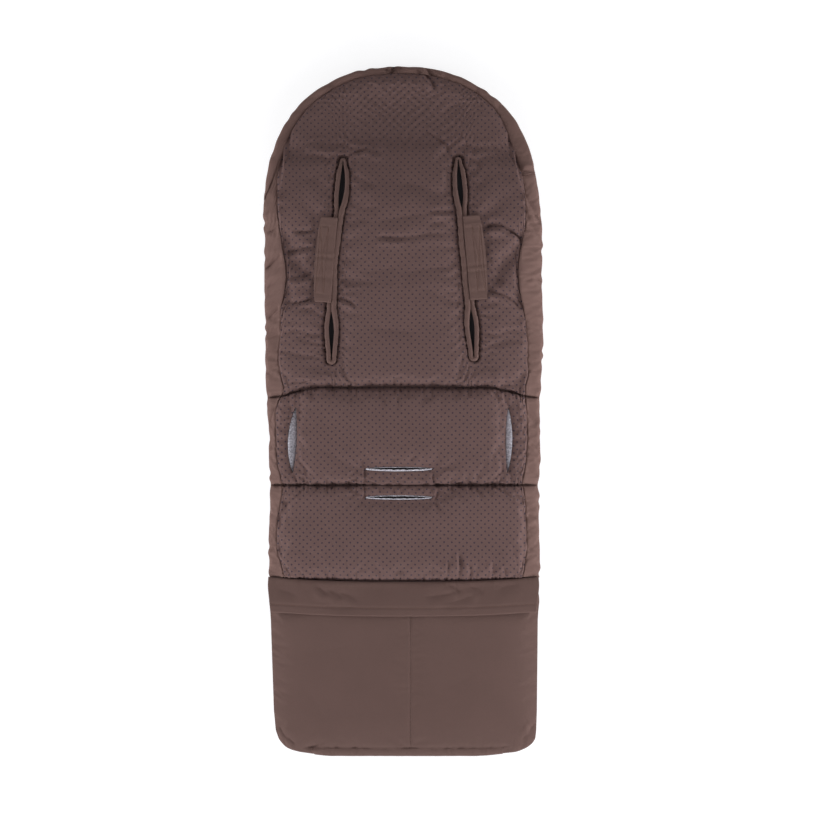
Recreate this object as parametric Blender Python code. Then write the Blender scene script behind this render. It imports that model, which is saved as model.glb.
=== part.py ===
"""Stroller footmuff lying face down, with its anti-slip back up.

A quilted mat of three sections (head, seat, legs) lies on a padded front cover. Mat and cover
are one bag at the foot end, and two side zips join them above it. The origin is under the
middle of the muff on the surface that it lies on: +Y to the hood, +X right, +Z up, in metres.
"""

import math

import bmesh
import bpy
from mathutils import Matrix, Vector

# The muff from toe end to hood, and where its cross seams lie
MUFF_LENGTH = 1.000
FOOT_LENGTH = 0.2535
LEGS_LENGTH = 0.139
SEAT_LENGTH = 0.142
SEAT_HALF_WIDTH = 0.195
HOOD_FLARE = 0.006
FOOT_NARROWING = 0.005
HOOD_DEPTH = 0.216
ARCH_SHARPNESS = 2.25
HIP_SEAM_SAG = 0.015
HIP_SAG_START_SHARE = 0.58
SEAM_PINCH = 0.003
PINCH_REACH = 0.009
FOOT_TAPER = 0.060
TOE_RADIUS = 0.027

# Heights of the layers over the surface that the muff lies on
COVER_THICK = 0.016
INSIDE_HEIGHT = 0.012
MAT_THICK = 0.026
LINING_THICK = 0.0015
SEW_GAP = 0.0003

# The mat's padding: crown, rolled outer edge and the grooves of its seams
CROWN_FALL = 0.004
EDGE_TOP_FALL = 0.013
EDGE_LOW_RISE = 0.007
EDGE_ROLL = 0.022
LOW_ROLL = 0.012
SEAM_DEPTH = 0.016
SEAM_ROLL = 0.020
SIDE_DIP = 0.0025
SIDE_DIP_REACH = 0.010
BORDER_WIDTH = 0.010
BORDER_DIP = 0.004
BORDER_REACH = 0.014
BORDER_DEPTH = 0.184
RIM_END_RISE = 0.061
SIDE_SEAM_INSET = 0.019
SIDE_SEAM_WAVE = 0.006
HEAD_WAVE_CREST_SHARE = 0.116
HEAD_WAVE_LENGTH_SHARE = 0.451
LINING_INSET = 0.018
LINING_SLACK = 0.0007
SLACK_REACH = 0.040

# Beyond the cover's top edge the hood end comes down to the surface
COVER_TOP_Y = 0.265
HOOD_DROP_START = 0.275
HOOD_DROP_LENGTH = 0.185

# Harness slots: bound buttonholes, closed in the middle and open at both ends
HARNESS_TOP_X_SHARES = {"left": -0.44974, "right": 0.40667}
HARNESS_LOW_X_SHARES = {"left": -0.53333, "right": 0.52051}
HARNESS_TOP_Y_SHARES = {"left": 0.7046, "right": 0.7079}
HARNESS_LOW_Y_SHARES = {"left": 0.0849, "right": 0.0945}
HARNESS_SWEEP_SHARES = {"left": (0.05, 0.60), "right": (-0.25, 1.25)}
HARNESS_EYE_SHARES = ((0.02, 0.25), (0.75, 0.98))
HARNESS_EYE_HALF = (0.0038, 0.0031)
HARNESS_SLIT_HALF = 0.0004
WELT_RADIUS = 0.0034
WELT_PROUD = 0.0015
FACING_THICK = 0.0012

# Lap slots at the sides of the seat and crotch slots across its front seam
LAP_SLOT_INSET = {"left": 0.0330, "right": 0.0430}
LAP_SLOT_FROM_SEAM = 0.0185
LAP_SLOT_LENGTH = 0.0940
LAP_SLOT_HALF = 0.0064
LAP_SLIT_HALF = 0.0026
LAP_LIP_THICK = 0.0010
LAP_LIP_SLOPE = 0.9
LAP_SLIT_SHARE = 0.84
CROTCH_SLOT_X = -0.0065
CROTCH_SLOT_LENGTH = 0.0980
CROTCH_SLOT_HALF = 0.0039
CROTCH_LIP_THICK = 0.0012
CROTCH_SLOT_FROM_SEAM = {"seat": 0.0235, "legs": -0.0175}

# Hook-and-loop tabs that hold the harness slots shut
TAB_START_SHARE = 0.29
TAB_END_SHARE = 0.715
TAB_WIDTH = 0.0265
TAB_THICK = 0.0016
PATCH_THICK = 0.0009
PATCH_MARGIN = 0.002
PATCH_START = 0.0125

# The foot bag's back panels, toe strip and the band over its zip
FOOT_CROWN_FALL = 0.006
FOOT_SEAM_X = 0.010
FOOT_SEAM_DIP = 0.0015
FOOT_END_FALL = 0.005
FOOT_END_ROLL = 0.045
TOE_STRIP_WIDTH = 0.012
TOE_STRIP_X = 0.0035
TOE_STRIP_END_INSET = 0.0465
BAND_WIDTH = 0.0495
BAND_THICK = 0.0032
BAND_OVERHANG = 0.002
BAND_ROOT_RISE = 0.0055
BAND_ROLL = 0.015
BAND_HINGE_FALL = 0.0075
BINDING_THICK = 0.0018
GUSSET_INSET = 0.0134
GUSSET_THICK = 0.0015

# The front cover's edge
COVER_INSET = 0.006
COVER_ROLL = 0.012
COVER_EDGE = 0.005
HEM_WIDTH = 0.006
HEM_EDGE = 0.004

# Zips: tape, coil and slider
ZIP_INSET = 0.014
TAPE_THICK = 0.001
COIL_THICK = 0.003
COIL_HEIGHT = 0.0021
COIL_GAP = 0.0018
RUN_GAP = 0.0003
SLIDER_LENGTH = 0.013
SLIDER_WALL = 0.0011
SLIDER_LIP = 0.0009
BRIDGE_LENGTH = 0.003
STOP_LENGTH = 0.0065
STOP_HALF_THICK = 0.0024
ZIP_TOP_MARGIN = 0.012
BAIL_HALF = 0.0022
BAIL_LEG = 0.0010
BAIL_REACH = 0.0026
BAIL_THICK = 0.0016
PULLER_BAR = 0.0010
PULLER_HALF = 0.0026
PULLER_EYE_HALF = 0.0012
PULLER_EYE_LENGTH = 0.0034
PULLER_LENGTH = 0.022
FOOT_ZIP_FROM_SEAM = 0.011
FOOT_ZIP_FALL = 0.0175
FOOT_ZIP_INSET = 0.018
FOOT_ZIP_END = 0.0045

# How far a cutter runs past what it cuts
OVERRUN = 0.004

# Turning axes of the mat lie this far below its crown
HINGE_FALL = 0.007

HOOD_HALF_WIDTH = SEAT_HALF_WIDTH + HOOD_FLARE
FOOT_HALF_WIDTH = SEAT_HALF_WIDTH - FOOT_NARROWING
TOE_STRIP_HALF = FOOT_HALF_WIDTH - TOE_STRIP_END_INSET
FOOT_ZIP_HALF = FOOT_HALF_WIDTH - FOOT_ZIP_INSET
TOE_Y = -MUFF_LENGTH / 2
HOOD_Y = MUFF_LENGTH / 2
FOOT_SEAM_Y = TOE_Y + FOOT_LENGTH
KNEE_SEAM_Y = FOOT_SEAM_Y + LEGS_LENGTH
HIP_SEAM_Y = KNEE_SEAM_Y + SEAT_LENGTH
HEAD_LENGTH = HOOD_Y - HIP_SEAM_Y
ARCH_Y = HOOD_Y - HOOD_DEPTH
BORDER_ARCH_Y = HOOD_Y - BORDER_WIDTH - BORDER_DEPTH
RIM_END_Y = ARCH_Y + RIM_END_RISE
MAT_LOW_Z = COVER_THICK + INSIDE_HEIGHT
CROWN_Z = MAT_LOW_Z + MAT_THICK
HINGE_Z = CROWN_Z - HINGE_FALL
HIP_HINGE_Y = HIP_SEAM_Y - HIP_SEAM_SAG / 2
LINING_LOW_Z = MAT_LOW_Z - SEW_GAP - LINING_THICK
HOOD_DROP = LINING_LOW_Z - SEW_GAP
ZIP_X = SEAT_HALF_WIDTH - ZIP_INSET
ZIP_Z = COVER_THICK + INSIDE_HEIGHT / 2
ZIP_TOP_Y = COVER_TOP_Y - ZIP_TOP_MARGIN
SLIDER_Y = FOOT_SEAM_Y + SEW_GAP + SLIDER_LENGTH / 2
FOOT_ZIP_Y = FOOT_SEAM_Y - FOOT_ZIP_FROM_SEAM
FOOT_ZIP_Z = CROWN_Z - FOOT_ZIP_FALL
SLIDER_HALF = COIL_GAP / 2 + COIL_HEIGHT + RUN_GAP + SLIDER_LIP
FOOT_PANEL_TOP_Y = FOOT_ZIP_Y - SLIDER_HALF - FOOT_ZIP_END
BAND_HINGE_Z = CROWN_Z - BAND_HINGE_FALL
BAND_HINGE_Y = FOOT_SEAM_Y - SEW_GAP

SIDES = {"left": -1, "right": 1}
LAP_SLOT_LOW_Y = KNEE_SEAM_Y + LAP_SLOT_FROM_SEAM
LAP_SLOT_X = {side: way * (SEAT_HALF_WIDTH - LAP_SLOT_INSET[side]) for side, way in SIDES.items()}


def harness_end(side, x_shares, y_shares):
    """An end of a harness slot, from its shares of the seat's half width and the head's length."""
    return SEAT_HALF_WIDTH * x_shares[side], HIP_SEAM_Y + HEAD_LENGTH * y_shares[side]


HARNESS_TOP = {side: harness_end(side, HARNESS_TOP_X_SHARES, HARNESS_TOP_Y_SHARES) for side in SIDES}
HARNESS_BOTTOM = {
    side: harness_end(side, HARNESS_LOW_X_SHARES, HARNESS_LOW_Y_SHARES) for side in SIDES
}


def start_scene():
    for obj in list(bpy.data.objects):
        bpy.data.objects.remove(obj, do_unlink=True)
    collections = {}
    for name in ("stroller_footmuff", "cutters"):
        collections[name] = bpy.data.collections.new(name)
        bpy.context.scene.collection.children.link(collections[name])
    return collections["stroller_footmuff"], collections["cutters"]


PARTS, CUTTERS = start_scene()


def finish(name, colour, roughness, metallic=0.0):
    """A plain material in a linear colour."""
    made = bpy.data.materials.new(name)
    made.use_nodes = True
    shader = made.node_tree.nodes["Principled BSDF"]
    shader.inputs["Base Color"].default_value = (*colour, 1.0)
    shader.inputs["Roughness"].default_value = roughness
    shader.inputs["Metallic"].default_value = metallic
    return made


COLOURS = {
    "antislip": ((0.110, 0.068, 0.061), 0.85),
    "smooth": ((0.140, 0.087, 0.078), 0.75),
    "fleece": ((0.400, 0.390, 0.450), 0.95),
    "black": ((0.006, 0.005, 0.006), 0.85),
    "tape": ((0.090, 0.058, 0.052), 0.80),
    "loop": ((0.100, 0.064, 0.057), 0.95),
    "slider": ((0.110, 0.080, 0.070), 0.35, 0.9),
}


# Small sums


def smooth(t):
    """0 to 1 with a level start and end."""
    t = min(max(t, 0.0), 1.0)
    return t * t * (3 - 2 * t)


def rise(distance, reach):
    """A quarter round: 0 at no distance, 1 at the reach and beyond."""
    t = min(max(distance / reach, 0.0), 1.0)
    return math.sqrt(1 - (1 - t) ** 2)


def mix(a, b, t):
    return a + (b - a) * t


def eased(t):
    """Spacing of rows that are closer together near both ends."""
    return 0.5 - 0.5 * math.cos(math.pi * t)


# The plan of the mat: its outline and its seams


def hip_seam(x):
    start = HIP_SAG_START_SHARE * SEAT_HALF_WIDTH
    return HIP_SEAM_Y - HIP_SEAM_SAG * smooth((abs(x) - start) / (SEAT_HALF_WIDTH - start))


def knee_seam(x):
    return KNEE_SEAM_Y


def foot_seam(x):
    return FOOT_SEAM_Y


def pinch(y):
    """How far the outline is drawn in near the ends of the cross seams."""
    ends = (FOOT_SEAM_Y, KNEE_SEAM_Y, HIP_SEAM_Y - HIP_SEAM_SAG)
    return SEAM_PINCH * sum(math.exp(-(((y - end) / PINCH_REACH) ** 2)) for end in ends)


def half_width(y):
    """Half the mat's width, below the hood's arch."""
    if y >= HIP_SEAM_Y:
        grown = smooth((y - HIP_SEAM_Y) / (ARCH_Y - HIP_SEAM_Y))
        wide = mix(SEAT_HALF_WIDTH, HOOD_HALF_WIDTH, grown)
    else:
        shrunk = smooth((FOOT_SEAM_Y - y) / FOOT_TAPER)
        wide = mix(SEAT_HALF_WIDTH, FOOT_HALF_WIDTH, shrunk)
    return wide - pinch(y)


def arch_half(y, base, half, depth):
    """Half the width of an arch that stands on y = base."""
    t = min(max((y - base) / depth, 0.0), 1.0)
    return half * (1 - t**ARCH_SHARPNESS) ** (1 / ARCH_SHARPNESS)


def arch_top(x, base, half, depth):
    """The height of that arch over x."""
    t = min(abs(x) / half, 1.0)
    return base + depth * (1 - t**ARCH_SHARPNESS) ** (1 / ARCH_SHARPNESS)


def outer_half(y):
    """Half the mat's width at any height."""
    if y > ARCH_Y:
        return arch_half(y, ARCH_Y, HOOD_HALF_WIDTH, HOOD_DEPTH)
    return half_width(y)


def side_seam(y):
    """Half the width of the anti-slip panel, below its arch."""
    middle = SEAT_HALF_WIDTH - SIDE_SEAM_INSET
    if y >= HIP_SEAM_Y:
        crest = HIP_SEAM_Y + HEAD_WAVE_CREST_SHARE * HEAD_LENGTH
        turn = 2 * math.pi * (y - crest) / (HEAD_WAVE_LENGTH_SHARE * HEAD_LENGTH)
        return middle + SIDE_SEAM_WAVE * math.cos(turn)
    if y >= KNEE_SEAM_Y:
        along = (y - KNEE_SEAM_Y) / SEAT_LENGTH
    else:
        along = (y - FOOT_SEAM_Y) / LEGS_LENGTH
    return middle + SIDE_SEAM_WAVE * math.sin(math.pi * min(max(along, 0.0), 1.0))


BORDER_HALF = side_seam(BORDER_ARCH_Y)


def panel_half(y):
    """Half the width of the anti-slip panel at any height."""
    if y > BORDER_ARCH_Y:
        return arch_half(y, BORDER_ARCH_Y, BORDER_HALF, BORDER_DEPTH)
    return side_seam(y)


def panel_top(x):
    return arch_top(x, BORDER_ARCH_Y, BORDER_HALF, BORDER_DEPTH)


def edge_distance(x, y):
    """How far a point lies inside the mat's outline."""
    if y > ARCH_Y:
        across = (abs(x) / HOOD_HALF_WIDTH) ** ARCH_SHARPNESS
        along = ((y - ARCH_Y) / HOOD_DEPTH) ** ARCH_SHARPNESS
        return (1 - (across + along) ** (1 / ARCH_SHARPNESS)) * HOOD_HALF_WIDTH
    return half_width(y) - abs(x)


def border_distance(x, y):
    """How far a point lies from the seam round the anti-slip panel."""
    if y > BORDER_ARCH_Y:
        across = (abs(x) / BORDER_HALF) ** ARCH_SHARPNESS
        along = ((y - BORDER_ARCH_Y) / BORDER_DEPTH) ** ARCH_SHARPNESS
        return abs(1 - (across + along) ** (1 / ARCH_SHARPNESS)) * BORDER_DEPTH
    return abs(side_seam(y) - abs(x))


def hood_drop(y):
    return HOOD_DROP * smooth((y - HOOD_DROP_START) / HOOD_DROP_LENGTH)


def mat_top(x, y):
    """The height of the mat's padded back."""
    crown = CROWN_Z - CROWN_FALL * (x / HOOD_HALF_WIDTH) ** 2
    edge = CROWN_Z - EDGE_TOP_FALL
    z = mix(edge, crown, rise(edge_distance(x, y), EDGE_ROLL))
    seams = (foot_seam(x), knee_seam(x), hip_seam(x))
    nearest = min(abs(y - seam) for seam in seams)
    z = mix(CROWN_Z - SEAM_DEPTH, z, rise(nearest, SEAM_ROLL))
    side = 1 - rise(border_distance(x, y), SIDE_DIP_REACH)
    border = 1 - rise(border_distance(x, y), BORDER_REACH)
    up = smooth((y - BORDER_ARCH_Y) / BORDER_REACH)
    z -= min(mix(SIDE_DIP * side, BORDER_DIP * border, up), SIDE_DIP + BORDER_DIP)
    return z - hood_drop(y)


def mat_low(x, y):
    """The height of the padding's underside."""
    lift = EDGE_LOW_RISE * (1 - rise(edge_distance(x, y), LOW_ROLL))
    return MAT_LOW_Z + lift - hood_drop(y)


def lining_low(x, y):
    """The lining's inner face, a little slack where the hood end comes down."""
    begun = smooth((y - HOOD_DROP_START) / SLACK_REACH + 1)
    ended = smooth((HOOD_DROP_START + HOOD_DROP_LENGTH - y) / SLACK_REACH)
    return LINING_LOW_Z - hood_drop(y) - LINING_SLACK * begun * ended


def lining_top(x, y):
    return lining_low(x, y) + LINING_THICK


# Making solids


def keep(obj, colour, parent):
    """Gives a finished piece its material and its place in the tree."""
    obj.data.materials.clear()
    obj.data.materials.append(finish(obj.name, *COLOURS[colour]))
    obj.data.shade_smooth()
    obj.data.set_sharp_from_angle(angle=math.radians(35))
    if parent is not None:
        obj.parent = parent
        obj.matrix_parent_inverse = parent.matrix_world.inverted()
    return obj


def joint_empty(name, place, parent=None):
    """An empty on the axis that a moving part turns about or slides along."""
    made = bpy.data.objects.new(name, None)
    PARTS.objects.link(made)
    made.location = place
    bpy.context.view_layer.update()
    if parent is not None:
        made.parent = parent
        made.matrix_parent_inverse = parent.matrix_world.inverted()
        bpy.context.view_layer.update()
    return made


def padded(name, columns, rows, place, top, low, collection=None):
    """A grid laid out by place(u, v), raised to top(x, y) and closed below at low(x, y)."""
    mesh = bpy.data.meshes.new(name)
    form = bmesh.new()
    bmesh.ops.create_grid(form, x_segments=columns, y_segments=rows, size=0.5)
    for vertex in form.verts:
        x, y = place(vertex.co.x + 0.5, vertex.co.y + 0.5)
        vertex.co = (x, y, top(x, y))
    made = bmesh.ops.extrude_face_region(form, geom=form.faces[:])
    for vertex in made["geom"]:
        if isinstance(vertex, bmesh.types.BMVert):
            vertex.co.z = low(vertex.co.x, vertex.co.y)
    bmesh.ops.recalc_face_normals(form, faces=form.faces[:])
    form.to_mesh(mesh)
    form.free()
    obj = bpy.data.objects.new(name, mesh)
    (collection or PARTS).objects.link(obj)
    return obj


def patch(left, right, low, high, across=eased, along=eased):
    """A place(u, v) between two sides x(y) and two ends y(x)."""

    def place(u, v):
        x, y = 0.0, 0.5 * (low(0.0) + high(0.0))
        for _ in range(12):
            y = mix(low(x), high(x), along(v))
            x = mix(left(y), right(y), across(u))
        return x, y

    return place


def extruded(name, outlines, depth, collection=None):
    """A flat outline, with any holes, given a thickness along local Z, as a mesh."""
    curve = bpy.data.curves.new(name, "CURVE")
    curve.dimensions = "2D"
    curve.fill_mode = "BOTH"
    curve.extrude = depth / 2
    for points in outlines:
        spline = curve.splines.new("POLY")
        spline.points.add(len(points) - 1)
        for spot, (x, y) in zip(spline.points, points):
            spot.co = (x, y, 0.0, 1.0)
        spline.use_cyclic_u = True
    drawn = bpy.data.objects.new(name + "_outline", curve)
    PARTS.objects.link(drawn)
    graph = bpy.context.evaluated_depsgraph_get()
    mesh = bpy.data.meshes.new_from_object(drawn.evaluated_get(graph))
    weld(mesh)
    bpy.data.objects.remove(drawn)
    obj = bpy.data.objects.new(name, mesh)
    (collection or PARTS).objects.link(obj)
    return obj


def weld(mesh):
    form = bmesh.new()
    form.from_mesh(mesh)
    bmesh.ops.remove_doubles(form, verts=form.verts, dist=0.00001)
    bmesh.ops.recalc_face_normals(form, faces=form.faces[:])
    form.to_mesh(mesh)
    form.free()


def helper(obj):
    """Makes a solid a tool for Booleans only."""
    obj.hide_render = True
    obj.display_type = "WIRE"
    return obj


def combine(obj, tool, operation):
    change = obj.modifiers.new(tool.name, "BOOLEAN")
    change.operation = operation
    change.solver = "EXACT"
    change.object = tool
    return obj


# Slots: ribbons that run along a line and are as wide as the slot is


def harness_line(side):
    """The middle of a harness slot, from its top end (share 0) to its bottom end (1)."""
    (x_top, y_top), (x_low, y_low) = HARNESS_TOP[side], HARNESS_BOTTOM[side]
    first, last = HARNESS_SWEEP_SHARES[side]
    start = smooth(-first / (last - first))
    span = smooth((1 - first) / (last - first)) - start

    def place(share):
        swept = (smooth((share - first) / (last - first)) - start) / span
        return mix(x_top, x_low, swept), mix(y_top, y_low, share)

    return place


def harness_opening(share):
    """Half the width of a harness slot's gap."""
    half = HARNESS_SLIT_HALF
    for (first, last), eye in zip(HARNESS_EYE_SHARES, HARNESS_EYE_HALF):
        t = (share - first) / (last - first)
        if 0 < t < 1:
            half += eye * math.sin(math.pi * t)
    return half


CAP_ROWS = 4
CAP_START_SHARE = 0.1


def ribbon(line, half, margin, length, rows):
    """A place(u, v) along a line: half(share) + margin wide, with round ends of that margin."""
    cap = CAP_ROWS / rows

    def place(u, v):
        share, beyond, reach = v, 0.0, 0.0
        if margin:
            share = min(max((v - cap) / (1 - 2 * cap), 0.0), 1.0)
            ended = min(v / cap, (1 - v) / cap, 1.0)
            angle = math.pi / 2 * mix(CAP_START_SHARE, 1.0, ended)
            beyond, reach = margin * math.cos(angle), margin * math.sin(angle)
        x, y = line(share)
        ahead, behind = line(min(share + 0.01, 1.0)), line(max(share - 0.01, 0.0))
        along = Vector((ahead[0] - behind[0], ahead[1] - behind[1])).normalized()
        wide = (half(share) + reach) * (2 * u - 1)
        run = beyond if v > 0.5 else -beyond
        return x - along.y * wide + along.x * run, y + along.x * wide + along.y * run

    return place


def through(name, place, rows):
    """A cutter that goes through everything above and below a slot."""
    made = padded(
        name,
        2,
        rows,
        place,
        lambda x, y: CROWN_Z + OVERRUN,
        lambda x, y: -OVERRUN,
        CUTTERS,
    )
    return helper(made)


HARNESS_LENGTH = HARNESS_TOP["left"][1] - HARNESS_BOTTOM["left"][1]
HARNESS_ROWS = 34
WELT_FALL = WELT_RADIUS * 2 - WELT_PROUD


def harness_ribbon(side, margin):
    line = harness_line(side)
    return ribbon(line, harness_opening, margin, HARNESS_LENGTH, HARNESS_ROWS)


def harness_cutters(side):
    """The groove that the welt lies in, the hole that the facing lines, and the gap."""
    groove = padded(
        f"welt_groove_{side}",
        2,
        HARNESS_ROWS,
        harness_ribbon(side, 2 * WELT_RADIUS + 2 * SEW_GAP),
        lambda x, y: CROWN_Z + OVERRUN,
        lambda x, y: mat_top(x, y) - WELT_FALL - 3 * SEW_GAP,
        CUTTERS,
    )
    hole = harness_ribbon(side, FACING_THICK + SEW_GAP)
    gap = harness_ribbon(side, 0.0)
    return (
        helper(groove),
        through(f"harness_hole_{side}", hole, HARNESS_ROWS),
        through(f"harness_gap_{side}", gap, HARNESS_ROWS),
    )


def harness_welt(side, parent):
    """The piped binding: a round tube laid as one loop round the slot's gap."""
    line = harness_line(side)
    steps = 24
    turns = 6
    loop = []
    ends = []
    for share in (0.0, 1.0):
        near, far = line(min(share + 0.01, 1.0)), line(max(share - 0.01, 0.0))
        ends.append(Vector((near[0] - far[0], near[1] - far[1])).normalized())
    for way in (1, -1):
        for step in range(1, steps):
            share = step / steps if way == 1 else 1 - step / steps
            x, y = line(share)
            near, far = line(share + 0.005), line(share - 0.005)
            along = Vector((near[0] - far[0], near[1] - far[1])).normalized()
            out = way * (harness_opening(share) + WELT_RADIUS)
            loop.append((x - along.y * out, y + along.x * out))
        x, y = line(1.0 if way == 1 else 0.0)
        along = ends[1] if way == 1 else -ends[0]
        for turn in range(turns + 1):
            angle = math.pi * turn / turns
            round_half = HARNESS_SLIT_HALF + WELT_RADIUS
            out, ahead = round_half * math.cos(angle), round_half * math.sin(angle)
            spot = (x - along.y * out + along.x * ahead, y + along.x * out + along.y * ahead)
            loop.append(spot)
    curve = bpy.data.curves.new(f"harness_welt_{side}", "CURVE")
    curve.dimensions = "3D"
    curve.twist_mode = "Z_UP"
    curve.bevel_depth = WELT_RADIUS
    curve.bevel_resolution = 1
    spline = curve.splines.new("POLY")
    spline.points.add(len(loop) - 1)
    for spot, (x, y) in zip(spline.points, loop):
        spot.co = (x, y, mat_top(x, y) + WELT_PROUD - WELT_RADIUS, 1.0)
    spline.use_cyclic_u = True
    drawn = bpy.data.objects.new(f"harness_welt_{side}_line", curve)
    PARTS.objects.link(drawn)
    graph = bpy.context.evaluated_depsgraph_get()
    mesh = bpy.data.meshes.new_from_object(drawn.evaluated_get(graph))
    weld(mesh)
    bpy.data.objects.remove(drawn)
    obj = bpy.data.objects.new(f"harness_welt_{side}", mesh)
    PARTS.objects.link(obj)
    return keep(obj, "smooth", parent)


def harness_facing(side, gap, parent):
    """The black facing that lines the slot below its welt."""
    obj = padded(
        f"harness_facing_{side}",
        2,
        HARNESS_ROWS,
        harness_ribbon(side, FACING_THICK),
        lambda x, y: mat_top(x, y) - WELT_FALL - SEW_GAP,
        lining_low,
    )
    combine(obj, gap, "DIFFERENCE")
    return keep(obj, "black", parent)


def lap_line(side):
    def place(share):
        return LAP_SLOT_X[side], LAP_SLOT_LOW_Y + LAP_SLOT_LENGTH * share

    return place


def lens(share, bluntness):
    return math.sin(math.pi * min(max(share, 0.0), 1.0)) ** bluntness


def lap_opening(share):
    return LAP_SLOT_HALF * lens(share, 0.8)


def lap_facing_half(share):
    return max(lap_opening(share) - SEW_GAP, SEW_GAP)


LAP_ROWS = 18


def lap_slit(side):
    """The slit beside the slot's inboard edge, so that the outboard lip shows as a slope."""
    line = lap_line(side)

    def inner_half(share):
        return min(LAP_SLIT_HALF, lap_facing_half(share) - LAP_LIP_THICK)

    def shared(share):
        return mix(0.5, share, LAP_SLIT_SHARE)

    def slit_line(share):
        x, y = line(shared(share))
        inward = lap_facing_half(shared(share)) - LAP_LIP_THICK - inner_half(shared(share))
        return x - inward * SIDES[side], y

    def half(share):
        return inner_half(shared(share))

    place = ribbon(slit_line, half, 0.0, LAP_SLOT_LENGTH * LAP_SLIT_SHARE, LAP_ROWS)
    return through(f"lap_slit_{side}", place, LAP_ROWS)


def lap_hole(side):
    place = ribbon(lap_line(side), lap_opening, 2 * SEW_GAP, LAP_SLOT_LENGTH, LAP_ROWS)
    return through(f"lap_hole_{side}", place, LAP_ROWS)


def lap_facing(side, parent):
    """The fleece that is turned out through a lap slot and slopes down into it."""

    def top(x, y):
        from_edge = (LAP_SLOT_X[side] - x) * SIDES[side] + LAP_SLOT_HALF
        return mat_top(x, y) - SEW_GAP - LAP_LIP_SLOPE * from_edge

    place = ribbon(lap_line(side), lap_facing_half, 0.0, LAP_SLOT_LENGTH, LAP_ROWS)
    obj = padded(f"lap_slot_facing_{side}", 4, LAP_ROWS, place, top, lining_low)
    combine(obj, lap_slit(side), "DIFFERENCE")
    return keep(obj, "fleece", parent)


CROTCH_ROWS = 18


def crotch_line(section):
    y = KNEE_SEAM_Y + CROTCH_SLOT_FROM_SEAM[section]

    def place(share):
        return CROTCH_SLOT_X + CROTCH_SLOT_LENGTH * (share - 0.5), y

    return place


def crotch_opening(share):
    return CROTCH_SLOT_HALF * lens(share, 0.4)


def crotch_facing_half(share):
    return max(crotch_opening(share) - SEW_GAP, SEW_GAP)


def crotch_slit(section):
    line = crotch_line(section)
    shorter = 1 - 6 * CROTCH_LIP_THICK / CROTCH_SLOT_LENGTH

    def slit_line(share):
        return line(mix(0.5, share, shorter))

    def half(share):
        return max(crotch_facing_half(mix(0.5, share, shorter)) - CROTCH_LIP_THICK, SEW_GAP)

    place = ribbon(slit_line, half, 0.0, CROTCH_SLOT_LENGTH * shorter, CROTCH_ROWS)
    return through(f"crotch_slit_{section}", place, CROTCH_ROWS)


def crotch_hole(section):
    line = crotch_line(section)
    place = ribbon(line, crotch_opening, 2 * SEW_GAP, CROTCH_SLOT_LENGTH, CROTCH_ROWS)
    return through(f"crotch_hole_{section}", place, CROTCH_ROWS)


def crotch_facing(section, parent):
    """The fleece lips of a crotch slot, through the mat and just proud of it."""
    line = crotch_line(section)
    place = ribbon(line, crotch_facing_half, 0.0, CROTCH_SLOT_LENGTH, CROTCH_ROWS)
    name = f"crotch_slot_facing_{section}"
    obj = padded(name, 2, CROTCH_ROWS, place, lambda x, y: mat_top(x, y) + SEW_GAP, lining_low)
    combine(obj, crotch_slit(section), "DIFFERENCE")
    return keep(obj, "fleece", parent)


# The mat's sections


SECTION_ENDS = {
    "legs": (foot_seam, knee_seam),
    "seat": (knee_seam, hip_seam),
}

# Panels that share a seam have the same columns or rows along it, so they match there
PANEL_COLUMNS = 16
SECTION_ROWS = 10
HEAD_ROWS = 20
SIDE_COLUMNS = 5
SIDE_TOP_ROWS = 3


def lower(seam):
    return lambda x: seam(x) + SEW_GAP / 2


def upper(seam):
    return lambda x: seam(x) - SEW_GAP / 2


def section_panel(section, parent):
    """The anti-slip middle panel of the seat or the legs with its padding."""
    first, last = SECTION_ENDS[section]
    place = patch(
        lambda y: -side_seam(y) + SEW_GAP / 2,
        lambda y: side_seam(y) - SEW_GAP / 2,
        lower(first),
        upper(last),
    )
    obj = padded(f"{section}_panel", PANEL_COLUMNS, SECTION_ROWS, place, mat_top, mat_low)
    return keep(obj, "antislip", parent)


def section_side(section, side, parent):
    """A smooth side strip of the seat or the legs, rolled at the mat's edge."""
    first, last = SECTION_ENDS[section]
    way = SIDES[side]
    place = patch(
        lambda y: way * (side_seam(y) + SEW_GAP / 2),
        lambda y: way * half_width(y),
        lower(first),
        upper(last),
    )
    obj = padded(f"{section}_side_{side}", SIDE_COLUMNS, SECTION_ROWS, place, mat_top, mat_low)
    return keep(obj, "smooth", parent)


def section_lining(section, parent):
    first, last = SECTION_ENDS[section]
    place = patch(
        lambda y: -(SEAT_HALF_WIDTH - LINING_INSET),
        lambda y: SEAT_HALF_WIDTH - LINING_INSET,
        lower(first),
        upper(last),
    )
    obj = padded(f"{section}_lining", 8, 2, place, lining_top, lining_low)
    return keep(obj, "fleece", parent)


def hip_end(across):
    """Where a line of points across(y) meets the seam between head and seat."""
    y = HIP_SEAM_Y
    for _ in range(12):
        y = hip_seam(across(y)) + SEW_GAP / 2
    return y


def head_panel(parent):
    """The anti-slip middle panel of the head section, arched at the hood."""

    def place(u, v):
        share = 2 * eased(u) - 1

        def across(y):
            return share * (side_seam(min(y, BORDER_ARCH_Y)) - SEW_GAP / 2)

        y = mix(hip_end(across), panel_top(share * BORDER_HALF) - SEW_GAP / 2, eased(v))
        return across(y), y

    obj = padded("head_panel", PANEL_COLUMNS, HEAD_ROWS, place, mat_top, mat_low)
    return keep(obj, "antislip", parent)


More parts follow.
